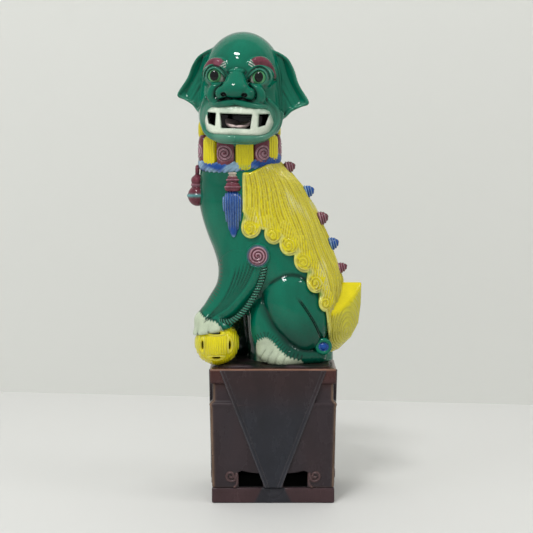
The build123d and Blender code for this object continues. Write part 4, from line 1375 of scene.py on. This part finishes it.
def build_head():
    for node, key, side, voxel in (
            ("head_front_half", "head", 1, 0.6), ("head_back_half", "head", -1, 0.9),
            ("nose", "nose", 0, 0.45), ("upper_lip", "lip", 0, 0.45),
            ("left_eyelid", "eyelid", 1, 0.42), ("right_eyelid", "eyelid", -1, 0.42),
            ("left_ear", "ear", 1, 0.6), ("right_ear", "ear", -1, 0.6)):
        piece(node, lambda p, key=key, side=side: head_share(p, key, side), head_paint, GREEN_GLAZE, voxel,
              relief=head_skin)
    for node, side in (("left_brow", 1), ("right_brow", -1)):
        piece(node, lambda p, side=side: head_share(p, "brow", side), brow_paint, AUBERGINE_GLAZE, 0.45,
              relief=head_skin)

    def eye_paint(p, hollow, proud):
        m = mirrored(head_frame(p), 0)
        a, b = m[:, 0] - EYE[0], m[:, 2] - EYE[2]
        r = np.hypot(a + 0.2, (b - 0.1) * 0.85)
        c = np.broadcast_to(shade(236, 240, 228), (len(p), 3))
        c = mix(c, IRIS[0], step(5.6, 4.6, r))
        c = mix(c, shade(26, 40, 34), step(3.6, 3.2, r))
        return mix(c, BLACK, step(3.2, 2.7, r))

    for node, side in (("left_eyeball", 1), ("right_eyeball", -1)):
        def eyeball(p, side=side):
            q = head_frame(p)
            centre = EYE * [side, 1, 1]
            cornea = ellipsoid(q, centre + [-0.2 * side, -5.6, 0.1], (4.6, 3.6, 5.0))
            return smin(length(q - centre) - EYE_R + 0.3, cornea, 1.5)
        piece(node, eyeball, eye_paint, EYE_GLAZE, 0.45)

    def teeth(p):
        q = mouth_frame(head_frame(p))
        outline = area2(q[:, 0], q[:, 2], TEETH_OUTLINE, curved=False) - 0.5
        face = MUZZLE(q)
        slope_in = 0.9 * step(-5.0, 0.5, outline)
        bars = 0.35 * stripes(q[:, 0], 5.4) * step(295.5, 297.5, q[:, 2])
        gum = 0.5 * ridge(q[:, 2] - 281.5, 1.6)
        plate = smax(face - 2.2 + slope_in - bars * 0.35 - gum, -3.4 - face, 1.0)
        plate = smax(smax(plate, outline, 1.6), q[:, 1] + 19.0, 0.8)
        for window_outline in MOUTH_WINDOWS:
            hole = area2(q[:, 0], q[:, 2], window_outline, curved=False) - 0.3
            plate = smax(plate, -hole, 1.3)
        return plate

    def teeth_paint(p, hollow, proud):
        q = mouth_frame(head_frame(p))
        outline = area2(q[:, 0], q[:, 2], TEETH_OUTLINE, curved=False)
        c = coat(CREAM, hollow, proud, 0.5, 0.8)
        c = mix(c, shade(138, 168, 146), 0.75 * step(-2.6, -0.2, outline))
        c = mix(c, shade(120, 150, 130), 0.4 * step(0.2, 0.9, wobble(p, 8.0, 3.0)))
        for window_outline in MOUTH_WINDOWS:
            near = area2(q[:, 0], q[:, 2], window_outline, curved=False)
            c = mix(c, shade(110, 136, 118), 0.55 * step(1.6, 0.2, near))
        # painted shade: the teeth frame's parts inside the muzzle are painted dark
        return mix(c, shade(60, 70, 62), 0.8 * (MUZZLE(q) < -0.8))
    piece("teeth_frame", teeth, teeth_paint, CREAM_GLAZE, 0.45)

    def tongue(p):
        q = mouth_frame(head_frame(p))
        curve = 285.2 + 0.038 * q[:, 0] ** 2 + 0.25 * np.abs(q[:, 1] + 32) - 0.05 * q[:, 0]
        sheet = np.abs(q[:, 2] - curve) - 1.2 + 0.5 * ridge(q[:, 0], 1.3)
        tip = (np.hypot(q[:, 0] / 10.2, (q[:, 1] + 24) / 13.5) - 1) * 9
        return smax(sheet, tip, 1.2)

    def tongue_paint(p, hollow, proud):
        c = coat(TONGUE, hollow, proud, 0.8, 0.8)
        return mix(c, shade(150, 176, 120), 0.5 * step(0.3, 0.9, wobble(p, 7.0, 1.0)))
    piece("tongue", tongue, tongue_paint, TONGUE_GLAZE, 0.45)


# ---------------------------------------------------------------- camera and studio
def studio():
    scene = bpy.context.scene
    scene.view_settings.view_transform = "Standard"
    camera = bpy.data.cameras.new("camera")
    camera.lens = 77.9
    camera.sensor_width = 36.0
    view = bpy.data.objects.new("camera", camera)
    view.location = (-0.005, -0.900, 0.2586)
    view.rotation_euler = (math.radians(84.92), 0, 0)
    scene.collection.objects.link(view)
    scene.camera = view

    def matte(name, colour):
        mat = bpy.data.materials.new(name)
        mat.use_nodes = True
        shader = mat.node_tree.nodes["Principled BSDF"]
        shader.inputs["Base Color"].default_value = (*colour, 1)
        shader.inputs["Roughness"].default_value = 0.6
        return mat

    def sheet(name, corners_m, mat):
        mesh = bpy.data.meshes.new(name)
        mesh.from_pydata(corners_m, [], [(0, 1, 2, 3)])
        mesh.materials.append(mat)
        obj = bpy.data.objects.new(name, mesh)
        scene.collection.objects.link(obj)

    # the wall is seen only from its front, so that it doesn't hide the object in views from behind
    pale = matte("studio_paper", shade(214, 214, 211))
    wall = matte("studio_wall", shade(217, 218, 213))
    nodes, links = wall.node_tree.nodes, wall.node_tree.links
    side = nodes.new("ShaderNodeNewGeometry")
    clear = nodes.new("ShaderNodeBsdfTransparent")
    either = nodes.new("ShaderNodeMixShader")
    links.new(side.outputs["Backfacing"], either.inputs[0])
    links.new(nodes["Principled BSDF"].outputs["BSDF"], either.inputs[1])
    links.new(clear.outputs["BSDF"], either.inputs[2])
    links.new(either.outputs["Shader"], nodes["Material Output"].inputs["Surface"])
    near, far = -0.128, 0.848
    sheet("floor", [(-4, -4, 0), (4, -4, 0), (4, near, 0), (-4, far, 0)], pale)
    sheet("wall", [(-4, far, 0), (4, near, 0), (4, near, 4), (-4, far, 4)], wall)

    world = bpy.data.worlds.new("studio")
    world.use_nodes = True
    world.node_tree.nodes["Background"].inputs["Color"].default_value = (1.0, 1.0, 1.0, 1)
    world.node_tree.nodes["Background"].inputs["Strength"].default_value = 0.57
    scene.world = world

    def lamp(name, place, aim, size, watts, glints, colour=(1, 1, 1)):
        data = bpy.data.lights.new(name, "AREA")
        data.shape = "RECTANGLE"
        data.size, data.size_y = size
        data.energy = watts
        data.color = colour
        obj = bpy.data.objects.new(name, data)
        obj.location = place
        direction = np.array(aim) - np.array(place)
        obj.rotation_euler = Vector(direction).to_track_quat("-Z", "Y").to_euler()
        obj.visible_glossy = glints
        scene.collection.objects.link(obj)

    lamp("ceiling", (-0.4, -0.5, 2.4), (0, 0, 0.2), (2.4, 2.0), 11.0, False)
    lamp("window", (-2.0, -1.2, 0.9), (0, 0, 0.2), (1.0, 1.2), 6.0, False, (0.97, 0.99, 1.0))
    lamp("back_tube", (-0.44, -0.90, 1.80), (0, 0, 0.3), (0.44, 0.14), 12.0, True)
    lamp("front_tube", (-0.46, -1.22, 1.70), (0, 0, 0.3), (0.20, 0.07), 3.0, True)
    lamp("right_tube", (1.30, -0.45, 1.45), (0, 0, 0.2), (0.50, 0.12), 3.0, True)


studio()
build_plinth()
build_body()
build_mane_and_tail()
build_ball_and_locks()
build_collar()
build_head()
